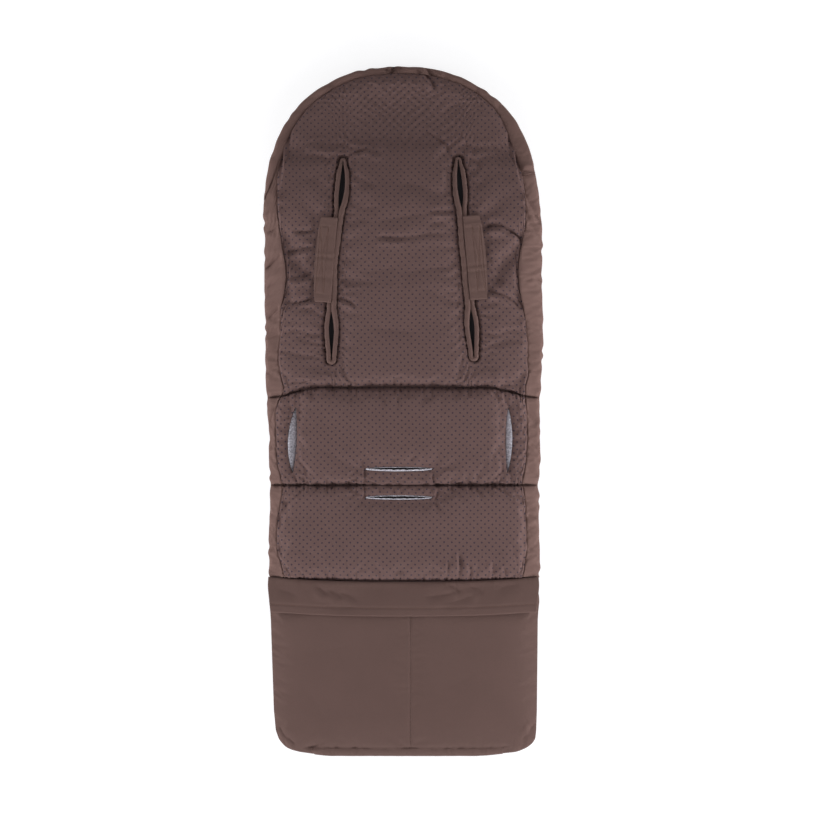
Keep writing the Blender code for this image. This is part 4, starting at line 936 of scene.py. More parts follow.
def dotted_cloth(name):
    """The brown cloth with rows of small raised rubber dots, every other row set off by half."""
    made, shader, shade = finish(name)
    spot, x, y, z = place_on(shade)
    elsewhere = shade.node("ShaderNodeVectorMath", {"operation": "ADD"}, {0: spot, 1: (3, 5, 0)})
    drift_x, drift_y = (noise(shade, at, 14.0, 1.0) * 0.006 for at in (spot, elsewhere))
    across, along = (x + drift_x) / 0.0105, (y + drift_y) / 0.0104

    def off(value):
        return shade.sum("PINGPONG", value, 0.5)

    def squared(a, b):
        return a * a + b * b

    first = squared(off(across), off(along))
    second = squared(off(across + 0.5), off(along + 0.5))
    nearest = shade.sum("SQRT", shade.sum("MINIMUM", first, second))
    dot = 1 - nearest.stepped(0.090, 0.145)
    cloud = noise(shade, spot, 34.0, 4.0)
    fine = noise(shade, spot, 900.0, 2.0)
    thread = weave(shade, x, y, 0.0012)
    value = (cloud * 0.30 + fine * 0.50 + thread * 0.20).stepped(0.25, 0.75)
    ground = value.toned((0.104, 0.0605, 0.0562), (0.130, 0.0758, 0.0702))
    dot.over(ground, (0.021, 0.012, 0.022)).to(shader, "Base Color")
    (0.84 - dot * 0.26).to(shader, "Roughness")
    height = thread * 0.2 + fine * 0.35 + noise(shade, spot, 130.0, 3.0) * 0.6 + dot * 0.8
    bumped(shade, height, 0.4, 0.0009).to(shader, "Normal")
    soften(shader, 0.10, (0.72, 0.52, 0.50), 0.25)
    return made


dotted = dotted_cloth("antislip_dots")
# Painted light: a lighter copy of the same brown cloth for the side strips and hood border,
# standing for the side light on their outward slopes.
lit_side_brown = smooth_cloth("brown_microfibre_lit_sides", 1.24)

LAP_X = {"left": -0.162, "right": 0.152}
LAP_Y, LAP_LENGTH, LAP_HALF = -0.0890, 0.0940, 0.0064
LAP_LEAN = {"left": (-0.1605, -0.1560), "right": (0.1504, 0.1514)}
LAP_BOW = {"left": (-0.0088, 0.0036), "right": (-0.0030, 0.0064)}


def lens(share, bluntness):
    """How open a slot is along its length, 0 at both ends."""
    return np.sin(np.pi * np.clip(share, 0.0, 1.0)) ** bluntness


def crotch_gap(x):
    return CROTCH_HALF * lens((x - CROTCH_X) / (2 * CROTCH_HALF_LENGTH) + 0.5, 0.4)


def lap_gap(y):
    return LAP_HALF * lens((y - LAP_Y) / LAP_LENGTH, 0.8)


def crotch_distance(x, y, slot_y):
    """How far a point lies from a crotch slot's middle line."""
    return np.hypot(np.maximum(np.abs(x - CROTCH_X) - CROTCH_HALF_LENGTH, 0), y - slot_y)


def lap_distance(x, y, slot_x):
    run = np.abs(y - LAP_Y - LAP_LENGTH / 2) - LAP_LENGTH / 2
    return np.hypot(np.maximum(run, 0), x - slot_x)


def slot_held(x, y):
    """1 near a slot, where the pad's back is sewn down and can't swell."""
    near = np.zeros_like(x)
    for slot_y in CROTCH_Y.values():
        near = np.maximum(near, 1 - smooth((crotch_distance(x, y, slot_y) - 0.006) / 0.010))
    for slot_x in LAP_X.values():
        near = np.maximum(near, 1 - smooth((lap_distance(x, y, slot_x) - 0.007) / 0.010))
    return near


def slot_relief(x, y):
    """The cloth turns down at each slot's edge and gathers beside it."""
    made = np.zeros_like(x)
    for slot_y in CROTCH_Y.values():
        away = np.maximum(crotch_distance(x, y, slot_y) - CROTCH_HALF, 0)
        made = made - 0.0012 * np.exp(-away / 0.003)
        made = made + 0.0006 * np.exp(-away / 0.007) * ripple(x, 0.014, 0.9 + slot_y)
    for slot_x in LAP_X.values():
        away = np.maximum(lap_distance(x, y, slot_x) - lap_gap(y), 0)
        made = made - 0.0030 * np.exp(-away / 0.0024)
        made = made + 0.0012 * np.exp(-away / 0.010) * ripple(y, 0.019, 1.2 + slot_x)
    return made


def cut(piece, place, size, name):
    """Cuts a slot straight through a pad."""
    tool, u, v, upper = net(name, *size)
    x, y = place(u, v)
    shaped(tool, np.stack([x, y, np.where(upper, 0.075, -0.01)], 1))
    bpy.ops.object.select_all(action="DESELECT")
    bpy.context.view_layer.objects.active = piece
    piece.select_set(True)
    change = piece.modifiers.new(name, "BOOLEAN")
    change.object, change.operation, change.solver = tool, "DIFFERENCE", "EXACT"
    bpy.ops.object.modifier_apply(modifier=name)
    bpy.data.objects.remove(tool)


def crotch_place(section, margin):
    """Lays a net out over a crotch slot and a margin round it."""

    def place(u, v):
        x = CROTCH_X + (2 * u - 1) * (CROTCH_HALF_LENGTH + margin)
        half = crotch_gap(CROTCH_X + (2 * u - 1) * CROTCH_HALF_LENGTH) + margin + 0.0002
        return x, CROTCH_Y[section] + (2 * v - 1) * half

    return place


def lap_place(side, margin):
    """The same over a lap slot, which leans and is bowed by its own amount on each side."""

    def place(u, v):
        y = LAP_Y - margin + v * (LAP_LENGTH + 2 * margin)
        bow = lens(v, 0.8)
        left, right = LAP_BOW[side]
        return mix(*LAP_LEAN[side], v) + mix(left * bow - margin, right * bow + margin, u), y

    return place


SEAT_CREASES = [
    (-154, 26, -158, 4, 2.5, 1.8),
    (-163, 22, -160, 2, 3.0, 1.2),
    (-146, 24, -151, -50, 6.0, 1.4),
    (-150, -30, -154, -96, 5.0, 1.4),
    (-158, -88, -152, -104, 2.5, 1.6),
    (-79, 28, -76, -14, 8.0, 1.2),
    (52, 24, 56, -8, 7.0, 0.9),
    (150, 24, 152, 2, 2.5, 1.8),
    (142, 22, 150, 6, 3.0, 1.2),
    (162, 22, 155, 4, 3.0, 1.0),
    (141, 8, 143, -50, 5.0, 1.2),
    (143, -30, 146, -96, 5.0, 1.2),
    (153, -88, 153, -105, 2.5, 1.6),
    (-64, -68, -57, -84, 2.0, 1.8),
    (-58.5, -78, -58.5, -110, 1.5, 3.0),
    (41, -80, 47, -110, 1.5, 3.2),
    (-24, -74, 0, -67, 3.5, 1.4),
    (4, -73, 24, -64, 3.0, 1.2),
    (-130, -52, -70, -90, 14, 0.9),
    (60, -30, 120, -70, 16, 0.9),
    (88, -88, 94, -106, 2.5, 1.2),
    (104, -86, 108, -106, 3.0, 1.4),
    (-110, 12, -60, 30, 14, 0.8),
]
LEGS_CREASES = [
    (-58.5, -104, -58.5, -130, 1.5, 3.0),
    (48, -104, 44, -132, 1.5, 3.2),
    (-60, -122, -72, -138, 2.5, 1.0),
    (46, -130, 80, -113, 3.5, 1.4),
    (44, -128, 54, -150, 3.0, 1.2),
    (104, -110, 114, -126, 2.5, 1.2),
    (79, -200, 81, -250, 2.0, 5.0),
    (66, -212, 69, -249, 1.8, 3.6),
    (91, -218, 95, -250, 1.8, 4.0),
    (56, -232, 62, -250, 2.2, 3.0),
    (128, -214, 133, -249, 2.6, 3.0),
    (141, -224, 147, -250, 2.2, 2.6),
    (152, -190, 166, -236, 6.0, 1.2),
    (-84, -208, -78, -246, 3.6, 2.0),
    (-134, -198, -130, -228, 8.0, 1.2),
    (-20, -216, -16, -242, 5.0, 0.9),
    (22, -222, 20, -244, 4.0, 1.0),
    (-140, -150, -60, -190, 18, 0.9),
    (60, -160, 120, -200, 18, 1.2),
    (-172, -126, -166, -170, 6.0, 1.0),
]
LINING_HALF = 0.177
SLOT_MARGIN = 0.0003


def beside(seam, gap):
    """A cross seam's line, moved that far along the mat."""
    return lambda x: seam(x) + gap


for section, first, last, body, strokes in (
    ("legs", foot_seam, knee_seam, "legs_mat", LEGS_CREASES),
    ("seat", knee_seam, hip_seam, "seat_mat", SEAT_CREASES),
):
    lower, upper = beside(first, GAP / 2), beside(last, -GAP / 2)
    panel = cushioned(
        f"{section}_quilt",
        between(
            lambda y: -side_seam(y) + GAP / 2,
            lambda y: side_seam(y) - GAP / 2,
            lower,
            upper,
            partly_eased,
            partly_eased,
        ),
        mat_top,
        mat_low,
        (230, 120),
        (70, 28),
        slack=0.025,
        held=slot_held,
        cap=0.005,
        relief=lambda x, y: section_relief(x, y) + slot_relief(x, y) + creased(x, y, strokes),
        drawn=drawn,
    )
    cut(panel, crotch_place(section, SLOT_MARGIN), (40, 4), "crotch_slot")
    if section == "seat":
        for side in LAP_X:
            cut(panel, lap_place(side, SLOT_MARGIN), (4, 40), "lap_slot")
    panel.data.materials.append(dotted)
    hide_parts(f"{section}_panel")
    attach(panel, body)
    for side, way in (("left", -1), ("right", 1)):
        strip = cushioned(
            f"{section}_edge_{side}",
            between(
                lambda y: way * (side_seam(y) + GAP / 2),
                lambda y: way * half_width(y),
                lower,
                upper,
                spaced_along=partly_eased,
            ),
            strip_top,
            mat_low,
            (18, 150),
            (6, 36),
            slack=0.010,
            cap=0.0012,
            relief=edge_relief,
            drawn=drawn,
        )
        strip.data.materials.append(lit_side_brown)
        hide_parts(f"{section}_side_{side}")
        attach(strip, body)
    lining = cushioned(
        f"{section}_fleece",
        between(level(-LINING_HALF), level(LINING_HALF), lower, upper, spaced_across=None),
        level(LINING_TOP_Z),
        level(LINING_LOW_Z),
        (70, 28),
        drawn=drawn_along,
    )
    lining.data.materials.append(grey_fleece)
    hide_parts(f"{section}_lining")
    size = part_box(f"{section}_lining")
    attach(lining, body)

# Inside these two seams a strip of the cloth joins the pads.
WEB_HALF, WEB_REACH, WEB_BEND = 0.184, 0.006, 0.0035
WEB_LOW_Z, WEB_MIDDLE_Z, WEB_TOP_Z = 0.0360, 0.037, 0.0372
for name, seam, below, above in (
    ("foot", foot_seam, "foot_bag", "legs_mat"),
    ("knee", knee_seam, "legs_mat", "seat_mat"),
):
    web = cushioned(
        f"{name}_seam_web",
        between(
            level(-WEB_HALF),
            level(WEB_HALF),
            beside(seam, -WEB_REACH),
            beside(seam, WEB_REACH),
            spaced_across=None,
        ),
        level(WEB_TOP_Z),
        level(WEB_LOW_Z),
        (90, 12),
        drawn=drawn_along,
    )
    web.data.materials.append(brown)
    middle = float(seam(np.array(0.0)))
    start, end = (0, middle - WEB_BEND, WEB_MIDDLE_Z), (0, middle + WEB_BEND, WEB_MIDDLE_Z)
    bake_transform(web)


# The slots' fleece
# The lining is turned out through each slot. It slopes down into the two lap slots, and lips the
# two crotch slots on either side of a near-black sheet of painted shade for the slot's dark depth.


def painted_slot_shade(name):
    """Painted shade: a near-black sheet with fine ribs that run down the slot, standing for its
    dark depth.
    """
    made, shader, shade = finish(name)
    spot, x, _, _ = place_on(shade)
    ribs = shade.sum("SINE", x * (2 * math.pi / 0.0016)) * 0.5 + 0.5
    value = (ribs * 0.8 + noise(shade, spot, 300.0) * 0.4).stepped(0.2, 0.95)
    colour = value.toned((0.002, 0.0016, 0.002), (0.016, 0.013, 0.016))
    colour.to(shader, "Base Color")
    bumped(shade, ribs, 0.8, 0.0006).to(shader, "Normal")
    shader.inputs["Roughness"].default_value = 0.8
    shader.inputs["Specular IOR Level"].default_value = 0.3
    return made


# A near-black sheet of painted shade, laid in the crotch and harness slots, standing for the dark
# depth seen into them.
black = painted_slot_shade("painted_slot_shade")
SHADE_SHEET_BELOW = 0.0002

for side, way in (("left", -1), ("right", 1)):

    def lip_top(x, y):
        """The turned-out fleece slopes down from the slot's outer edge."""
        slope = 0.70 * np.maximum((LAP_X[side] - x) * way + 0.0045, 0)
        return mat_top(x, y) - 0.0020 - slope + 0.0004 * ripple(y, 0.006, 0.3)

    lap_lip = cushioned(
        f"lap_lip_{side}",
        lap_place(side, -0.0001),
        lip_top,
        level(LINING_LOW_Z),
        (10, 60),
    )
    lap_lip.data.materials.append(grey_fleece)
    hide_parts(f"lap_slot_facing_{side}")
    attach(lap_lip, "seat_mat")


def ring_of(made, centre, out, up, radius, sides):
    """A ring of points round a tube or a thread."""
    turns = (2 * math.pi * k / sides for k in range(sides))
    shifts = (out * math.cos(angle) + up * math.sin(angle) for angle in turns)
    return [made.verts.new(centre + shift * radius) for shift in shifts]


def join_rings(made, one, two):
    for k in range(len(one)):
        after = (k + 1) % len(one)
        made.faces.new((one[k], one[after], two[after], two[k]))


def closed_piece(made, name, cloth):
    """Ends a mesh: its faces outwards, shaded smooth, with its material."""
    bmesh.ops.recalc_face_normals(made, faces=made.faces[:])
    mesh = bpy.data.meshes.new(name)
    made.to_mesh(mesh)
    made.free()
    mesh.shade_smooth()
    piece = bpy.data.objects.new(name, mesh)
    bpy.context.collection.objects.link(piece)
    piece.data.materials.append(cloth)
    return piece


def tube(name, path, radii, sides, cloth):
    """A round cloth tube laid along a closed path, with that radius at each point."""
    made = bmesh.new()
    rings = []
    for i, (spot, radius) in enumerate(zip(path, radii)):
        along = (Vector(path[(i + 1) % len(path)]) - Vector(path[i - 1])).normalized()
        out = Vector((0, 0, 1)).cross(along).normalized()
        up = along.cross(out).normalized()
        rings.append(ring_of(made, Vector(spot), out, up, radius, sides))
    for one, two in zip(rings, rings[1:] + rings[:1]):
        join_rings(made, one, two)
    return closed_piece(made, name, cloth)


def at_spot(height, x, y):
    """A surface's height at one point."""
    return float(height(np.array([x]), np.array([y]))[0])


LIP_STEPS = 90
for section, upper_lip, lower_lip in (("seat", 0.0004, 0.0012), ("legs", 0.0005, 0.0008)):
    loop, radii = [], []
    for k in range(LIP_STEPS):
        angle = 2 * math.pi * k / LIP_STEPS
        over = smooth(math.sin(angle) * 3 + 0.5)
        thick = mix(lower_lip, upper_lip, over)
        thick *= 1 + 0.20 * math.sin(k * 2.1) + 0.12 * math.sin(k * 5.3)
        x = CROTCH_X + (CROTCH_HALF_LENGTH - 0.0016) * math.cos(angle)
        gap = float(crotch_gap(np.array([x]))[0])
        y = CROTCH_Y[section] + (gap - thick) * (2 * over - 1)
        z = at_spot(mat_top, x, CROTCH_Y[section])
        loop.append((x, y, z - 0.0016 - 0.0008 * over))
        radii.append(thick)
    lips = tube(f"crotch_lips_{section}", loop, radii, 10, grey_fleece)
    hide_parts(f"crotch_slot_facing_{section}")
    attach(lips, f"{section}_mat")
    # Painted shade: a near-black sheet sunk in the slot, standing for the dark gap seen between
    # the fleece lips.
    shade_inlay = cushioned(
        f"crotch_painted_shade_{section}",
        crotch_place(section, -0.0006),
        lambda x, y: mat_top(x, y) - 0.0035 - 0.0025 * (1 - np.abs(y - CROTCH_Y[section]) / 0.004),
        level(LINING_LOW_Z - SHADE_SHEET_BELOW),
        (50, 6),
    )
    shade_inlay.data.materials.append(black)
    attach(shade_inlay, f"{section}_mat")


# The head section
# The longest panel of the mat, arched at the hood, where a smooth rolled border runs round it.
# Two long harness slots are bound with piped welts that touch between their open ends.

# Each slot's upper end, its lower end, and the shares of its run where its curve begins and ends.
HARNESS = {
    "left": ((-0.0877, 0.3625), (-0.1040, 0.0740), (0.05, 0.60)),
    "right": ((0.0793, 0.3640), (0.1015, 0.0785), (-0.25, 1.25)),
}
WELT_RADIUS = 0.0034


def harness_x(side, y):
    """The middle line of a harness slot's gap."""
    (x_top, y_top), (x_low, y_low), (first, last) = HARNESS[side]
    share = np.clip((y_top - y) / (y_top - y_low), 0.0, 1.0)
    start = smooth(-first / (last - first))
    span = smooth((1 - first) / (last - first)) - start
    return mix(x_top, x_low, (smooth((share - first) / (last - first)) - start) / span)


def harness_gap(side, y):
    """Half the width of a harness slot's gap."""
    (_, y_top), (_, y_low), _ = HARNESS[side]
    share = (y_top - y) / (y_top - y_low)
    upper = 0.0038 * np.sin(np.pi * np.clip((share - 0.02) / 0.23, 0, 1))
    lower = 0.0031 * np.sin(np.pi * np.clip((share - 0.75) / 0.23, 0, 1))
    return 0.0004 + upper + lower


def welt_distance(side, x, y):
    """How far a point lies outside a harness slot's pair of welts."""
    (_, y_top), (_, y_low), _ = HARNESS[side]
    beyond = np.maximum(np.maximum(y - y_top, y_low - y), 0)
    return np.hypot(x - harness_x(side, y), beyond) - harness_gap(side, y) - 2 * WELT_RADIUS


def harness_held(x, y):
    """1 at the slots, below the tabs and near the hood, where the pad can't swell."""
    near = np.zeros_like(x)
    for side in HARNESS:
        near = np.maximum(near, 1 - smooth((welt_distance(side, x, y) - 0.002) / 0.014))
    for tab_x in (-0.112, 0.104):
        across, along = 0.022 - np.abs(x - tab_x), 0.072 - np.abs(y - 0.219)
        near = np.maximum(near, smooth(across / 0.006) * smooth(along / 0.008))
    return np.maximum(near, 0.7 * smooth((y - 0.372) / 0.040))


HEAD_CREASES = [
    (-88, 358, -66, 375, 2.0, 3.8),
    (-76, 371, -42, 377, 2.0, 4.2),
    (-56, 376, -26, 374, 2.8, 2.2),
    (70, 377, 22, 412, 2.8, 2.0),
    (62, 374, 74, 366, 2.0, 2.0),
    (84, 368, 97, 390, 3.0, 1.2),
    (-94, 368, -146, 374, 4.0, 1.1),
    (-178, 380, -148, 358, 5.0, 0.8),
    (-166, 261, -118, 264, 2.2, 3.0),
    (-178, 226, -120, 238, 2.6, 4.2),
    (-174, 192, -122, 203, 2.8, 3.2),
    (-174, 157, -120, 167, 2.4, 4.2),
    (108, 262, 152, 266, 3.0, 5.6),
    (136, 267, 180, 242, 3.0, 5.6),
    (118, 195, 152, 187, 3.2, 1.8),
    (144, 190, 172, 163, 3.4, 1.8),
    (116, 174, 150, 165, 2.6, 4.0),
    (138, 170, 170, 146, 2.6, 3.2),
    (-44, 252, 18, 253, 2.4, 2.6),
    (-46, 249, 8, 242, 3.6, 1.6),
    (-6, 243, 70, 253, 4.0, 1.8),
    (-90, 270, -38, 271, 7.0, 1.6),
    (-54, 270, 42, 285, 8.0, 1.6),
    (-84, 299, -28, 295, 8.0, 1.4),
    (-12, 328, 42, 315, 8.0, 1.6),
    (28, 320, 72, 299, 8.0, 1.8),
    (34, 287, 78, 288, 2.2, 3.8),
    (32, 268, 74, 266, 4.0, 1.8),
    (-84, 352, -58, 332, 3.2, 2.0),
    (-66, 337, -38, 319, 5.0, 1.6),
    (-98, 163, -64, 147, 2.4, 3.4),
    (-82, 204, 2, 212, 9.0, 1.3),
    (-12, 196, 82, 208, 9.0, 1.3),
    (-62, 121, 32, 111, 9.0, 1.2),
    (110, 119, 162, 107, 6.0, 1.4),
    (-162, 103, -116, 118, 6.0, 1.4),
    (26, 497, 50, 465, 2.6, 4.2),
    (-62, 482, -28, 438, 8.0, 1.2),
    (92, 452, 48, 418, 8.0, 1.2),
    (-150, 330, -112, 345, 7.0, 1.2),
    (128, 350, 168, 330, 7.0, 1.4),
    (-118, 56, -112, 28, 5.0, 1.0),
    (146, 66, 152, 26, 5.0, 1.2),
]


def head_relief(x, y):
    """Creases, and the cloth gathered and drawn down beside the welts."""
    made = section_relief(x, y) + creased(x, y, HEAD_CREASES)
    for side in HARNESS:
        away = welt_distance(side, x, y)
        outside = np.maximum(away, 0)
        gather = ripple(y + 0.15 * x, 0.009, 0.8)
        made = made + 0.0013 * np.exp(-outside / 0.007) * gather * smooth((away + 0.002) / 0.002)
        pits = 0.7 + 0.5 * ripple(y, 0.0056, 1.1)
        made = made - 0.0060 * pits * np.exp(-((outside / 0.0020) ** 2))
        made = made - 0.0012 * np.exp(-outside / 0.006)
        made = made - 0.0040 * smooth(-away / 0.0030)
    return made


def hip_end(across):
    """Where a lengthwise line of the net meets the bowed hip seam."""
    y = HIP_SEAM_Y + 0 * across(np.array(0.1))
    for _ in range(12):
        y = hip_seam(across(y)) + GAP / 2
    return y


# The net's lines lie closer together at the harness slots and at the panel's sides.
SHARES = np.linspace(-1, 1, 801)
CLOSENESS = 1 + 2.2 * np.exp(-(((np.abs(SHARES) - 0.53) / 0.080) ** 2))
CLOSENESS += 2.0 * np.exp(-(1 - np.abs(SHARES)) / 0.03)
RUN = np.cumsum(CLOSENESS) - CLOSENESS[0]


def head_place(u, v):
    share = np.interp(u, RUN / RUN[-1], SHARES)
    v = partly_eased(v)

    def across(y):
        return share * (side_seam(np.minimum(y, BORDER_ARCH_Y)) - GAP / 2)

    top = arch_top(share * BORDER_HALF, BORDER_ARCH_Y, BORDER_HALF, BORDER_DEPTH) - GAP / 2
    y = mix(hip_end(across), top, v)
    return across(y), y


head_panel = cushioned(
    "head_quilt",
    head_place,
    mat_top,
    mat_low,
    (236, 290),
    (72, 84),
    slack=0.025,
    held=harness_held,
    cap=0.005,
    relief=head_relief,
    drawn=drawn,
)


def harness_place(side, margin):
    (_, y_top), (_, y_low), _ = HARNESS[side]

    def place(u, v):
        y = mix(y_low - margin, y_top + margin, v)
        half = harness_gap(side, y) + margin
        return harness_x(side, y) + (2 * u - 1) * half, y

    return place


for side in HARNESS:
    cut(head_panel, harness_place(side, 0.0024), (4, 60), "harness_slot")
head_panel.data.materials.append(dotted)
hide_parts("head_panel")
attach(head_panel, "head_mat")


def panel_half(y):
    arch = arch_half(y, BORDER_ARCH_Y, BORDER_HALF, BORDER_DEPTH)
    return np.where(y > BORDER_ARCH_Y, arch, side_seam(y))


def outer_half(y):
    return np.where(y > ARCH_Y, arch_half(y, ARCH_Y, MAT_HALF, ARCH_DEPTH), half_width(y))


RIM_ENDS = {"left": (0.376, 0.306), "right": (0.341, 0.347)}
for side, way in (("left", -1), ("right", 1)):

    def strip_place(u, v):
        def across(y):
            return way * mix(panel_half(y) + GAP / 2, outer_half(y), eased(u))

        y = mix(hip_end(across), mix(*RIM_ENDS[side], eased(u)), v)
        return across(y), y

    strip = cushioned(
        f"head_edge_{side}",
        strip_place,
        strip_top,
        mat_low,
        (18, 280),
        (6, 76),
        slack=0.010,
        cap=0.0012,
        relief=edge_relief,
        drawn=drawn,
    )
    strip.data.materials.append(lit_side_brown)
    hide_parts(f"head_side_{side}")
    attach(strip, "head_mat")


def arc(share, base, half, depth, which):
    """A point of the hood's arch, from the rim's left end to its right one."""
    first, last = (
        math.asin(((RIM_ENDS[side][which] + GAP - base) / depth) ** (ARCH_SHARPNESS / 2))
        for side in RIM_ENDS
    )
    angle = mix(math.pi - first, last, share)
    across = half * np.abs(np.cos(angle)) ** (2 / ARCH_SHARPNESS)
    risen = depth * np.sin(angle) ** (2 / ARCH_SHARPNESS)
    return np.copysign(across, np.cos(angle)), base + risen


def rim_place(u, v):
    grown = GAP * (BORDER_HALF + BORDER_DEPTH) / BORDER_HALF / 2
    inner = arc(u, BORDER_ARCH_Y, BORDER_HALF + grown, BORDER_DEPTH + grown, 0)
    outer = arc(u, ARCH_Y, MAT_HALF, ARCH_DEPTH, 1)
    v = eased(v)
    return mix(inner[0], outer[0], v), mix(inner[1], outer[1], v)


RIM_CREASES = [
    (-10, 508, -22, 484, 2.6, 5.0),
    (-2, 508, -10, 490, 2.2, 2.4),
    (24, 503, 50, 465, 2.6, 4.4),
    (14, 502, 24, 486, 3.0, 1.8),
    (-60, 505, -52, 486, 4.0, 1.2),
    (-118, 486, -100, 466, 5.0, 1.6),
    (-164, 443, -146, 430, 4.0, 1.6),
    (-188, 402, -172, 396, 4.0, 1.8),
    (-200, 372, -180, 364, 4.0, 2.0),
    (66, 497, 60, 478, 4.0, 1.2),
    (112, 480, 100, 462, 5.0, 1.2),
    (150, 452, 134, 440, 5.0, 1.4),
    (186, 402, 166, 396, 5.0, 1.6),
    (196, 346, 176, 348, 3.0, 4.0),
    (198, 352, 184, 356, 2.4, 2.0),
]


def rim_relief(x, y):
    """The border is a soft roll, pleated at its top and gathered along its seam."""
    turn = 0.2 * np.arctan2(y - ARCH_Y, x)
    seam = border_distance(x, y)
    made = 0.0004 * np.exp(-seam / 0.006) * ripple(turn, 0.011, 0.3)
    made = made + 0.0006 * rise(seam, 0.008) * ripple(turn, 0.065, 1.6)
    return made + 0.0026 * rise(seam, 0.008) + creased(x, y, RIM_CREASES)


hood_rim = cushioned(
    "hood_border",
    rim_place,
    mat_top,
    mat_low,
    (360, 14),
    (120, 5),
    slack=0.006,
    cap=0.0015,
    relief=rim_relief,
    drawn=drawn,
)
hood_rim.data.materials.append(lit_side_brown)
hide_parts("hood_rim")
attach(hood_rim, "head_mat")


def lining_low(x, y):
    """The linings' underside, which drops with the hood's top."""
    begun = smooth((y - HOOD_DROP_Y) / 0.040 + 1)
    ended = smooth((0.460 - y) / 0.040)
    return LINING_LOW_Z - hood_drop(y) - 0.0007 * begun * ended


head_fleece = cushioned(
    "head_fleece",
    between(
        level(-LINING_HALF),
        level(LINING_HALF),
        beside(hip_seam, GAP / 2),
        lambda x: arch_top(x, BORDER_ARCH_Y, LINING_HALF, BORDER_DEPTH),
    ),
    lambda x, y: lining_low(x, y) + LINING_TOP_Z - LINING_LOW_Z,
    lining_low,
    (70, 90),
)
head_fleece.data.materials.append(grey_fleece)
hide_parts("head_lining")
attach(head_fleece, "head_mat")

PIPING_STEPS, END_STEPS = 150, 9
for side, way in (("left", -1), ("right", 1)):
    (x_top, y_top), (x_low, y_low), _ = HARNESS[side]
    loop, radii, lift = [], [], []
    for go in (1, -1):
        for k in range(1, PIPING_STEPS):
            share = k / PIPING_STEPS if go == 1 else 1 - k / PIPING_STEPS
            y = np.array([mix(y_top, y_low, share)])
            # The inboard welt is the thicker of the two between the slot's open ends.
            swollen = math.sin(math.pi * min(max((share - 0.15) / 0.7, 0), 1)) ** 0.5
            grown = 0.0012 * swollen if go == -way else 0.0
            radius = WELT_RADIUS + grown
            radius *= 0.97 + 0.025 * math.sin(k * 1.9) + 0.035 * math.sin(k * 0.83 + go)
            radius *= mix(0.62, 1, float(smooth(share / 0.07)))
            out = go * (float(harness_gap(side, y)[0]) + radius - grown)
            x = float(harness_x(side, y)[0]) + out + 0.0004 * math.sin(k * 0.21 + go)
            loop.append((x, float(y[0])))
            radii.append(radius)
            lift.append(grown * 0.5)
        end_x, end_y = (x_low, y_low) if go == 1 else (x_top, y_top)
        for k in range(END_STEPS + 1):
            angle = math.pi * k / END_STEPS
            thick = WELT_RADIUS * (0.97 if go == 1 else 0.60)
            out = (0.0004 + thick) * math.cos(angle) * go
            ahead = (0.0004 + thick) * math.sin(angle) * -go
            loop.append((end_x + out, end_y + ahead))
            radii.append(thick)
            lift.append(0.0)
    flat_x, flat_y = np.array([p[0] for p in loop]), np.array([p[1] for p in loop])
    heights = mat_top(flat_x, flat_y) + 0.0016 - WELT_RADIUS + np.array(lift)
    path = [(x, y, float(z)) for (x, y), z in zip(loop, heights)]
    welt = tube(f"harness_piping_{side}", path, radii, 16, brown)
    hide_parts(f"harness_welt_{side}")
    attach(welt, "head_mat")

    def shade_sheet_top(x, y):
        """The painted shade sheet lies below the welts and sags along the slot's middle."""
        return mat_top(x, y) - 0.0055 - 0.4 * np.maximum(0.004 - np.abs(x - harness_x(side, y)), 0)

    # Painted shade: a near-black sheet down the slot between the welts, standing for the slot's
    # dark depth.
    facing = cushioned(
        f"harness_painted_shade_{side}",
        harness_place(side, 0.0020),
        shade_sheet_top,
        lambda x, y: lining_low(x, y) - SHADE_SHEET_BELOW,
        (8, 90),
    )
    facing.data.materials.append(black)
    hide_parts(f"harness_facing_{side}")
    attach(facing, "head_mat")


# The closure tabs
# A tab of the smooth cloth comes out from under each slot's inboard welt and lies over its
# outboard one, sewn to its hook patch with a box and a cross. The patch holds on a loop patch.


def harness_spot(side, share):
    """The point at that share of a harness slot's length."""
    (_, y_top), (_, y_low), _ = HARNESS[side]
    y = mix(y_top, y_low, share)
    return np.array([float(harness_x(side, np.array([y]))[0]), y])


def hooked_cloth(name, tone):
    """Short stiff pile in rows."""
    made, shader, shade = finish(name)
    spot, _, y, _ = place_on(shade)
    pile = noise(shade, spot, 1500.0, 2.0)
    rows = shade.sum("SINE", y * (2 * math.pi / 0.0022)) * 0.5 + 0.5
    value = (pile * 0.7 + rows * 0.3).stepped(0.2, 0.8)
    dark = [c * tone for c in (0.062, 0.040, 0.036)]
    light = [c * tone for c in (0.120, 0.078, 0.070)]
    value.toned(dark, light).to(shader, "Base Color")
    bumped(shade, pile + rows, 0.8, 0.0008).to(shader, "Normal")
    shader.inputs["Roughness"].default_value = 0.9
    return made


loop_pile = hooked_cloth("loop_pile", 1.0)
hook_pile = hooked_cloth("hook_pile", 0.8)
thread_finish, thread_shader, thread_shade = finish("brown_thread")
_, x, y, _ = place_on(thread_shade)
twist = thread_shade.sum("SINE", (x + y) * (2 * math.pi / 0.0009)) * 0.5 + 0.5
twist.toned((0.085, 0.036, 0.022), (0.140, 0.062, 0.038)).to(thread_shader, "Base Color")
thread_shader.inputs["Roughness"].default_value = 0.6

THREAD_RADIUS = 0.00024
# A stitch's rings: how far along it, how thick and how deep each one lies.
STITCH_RINGS = ((-1, 0.4, 0.0007), (-0.6, 1, 0.0001), (0.6, 1, 0.0001), (1, 0.4, 0.0007))


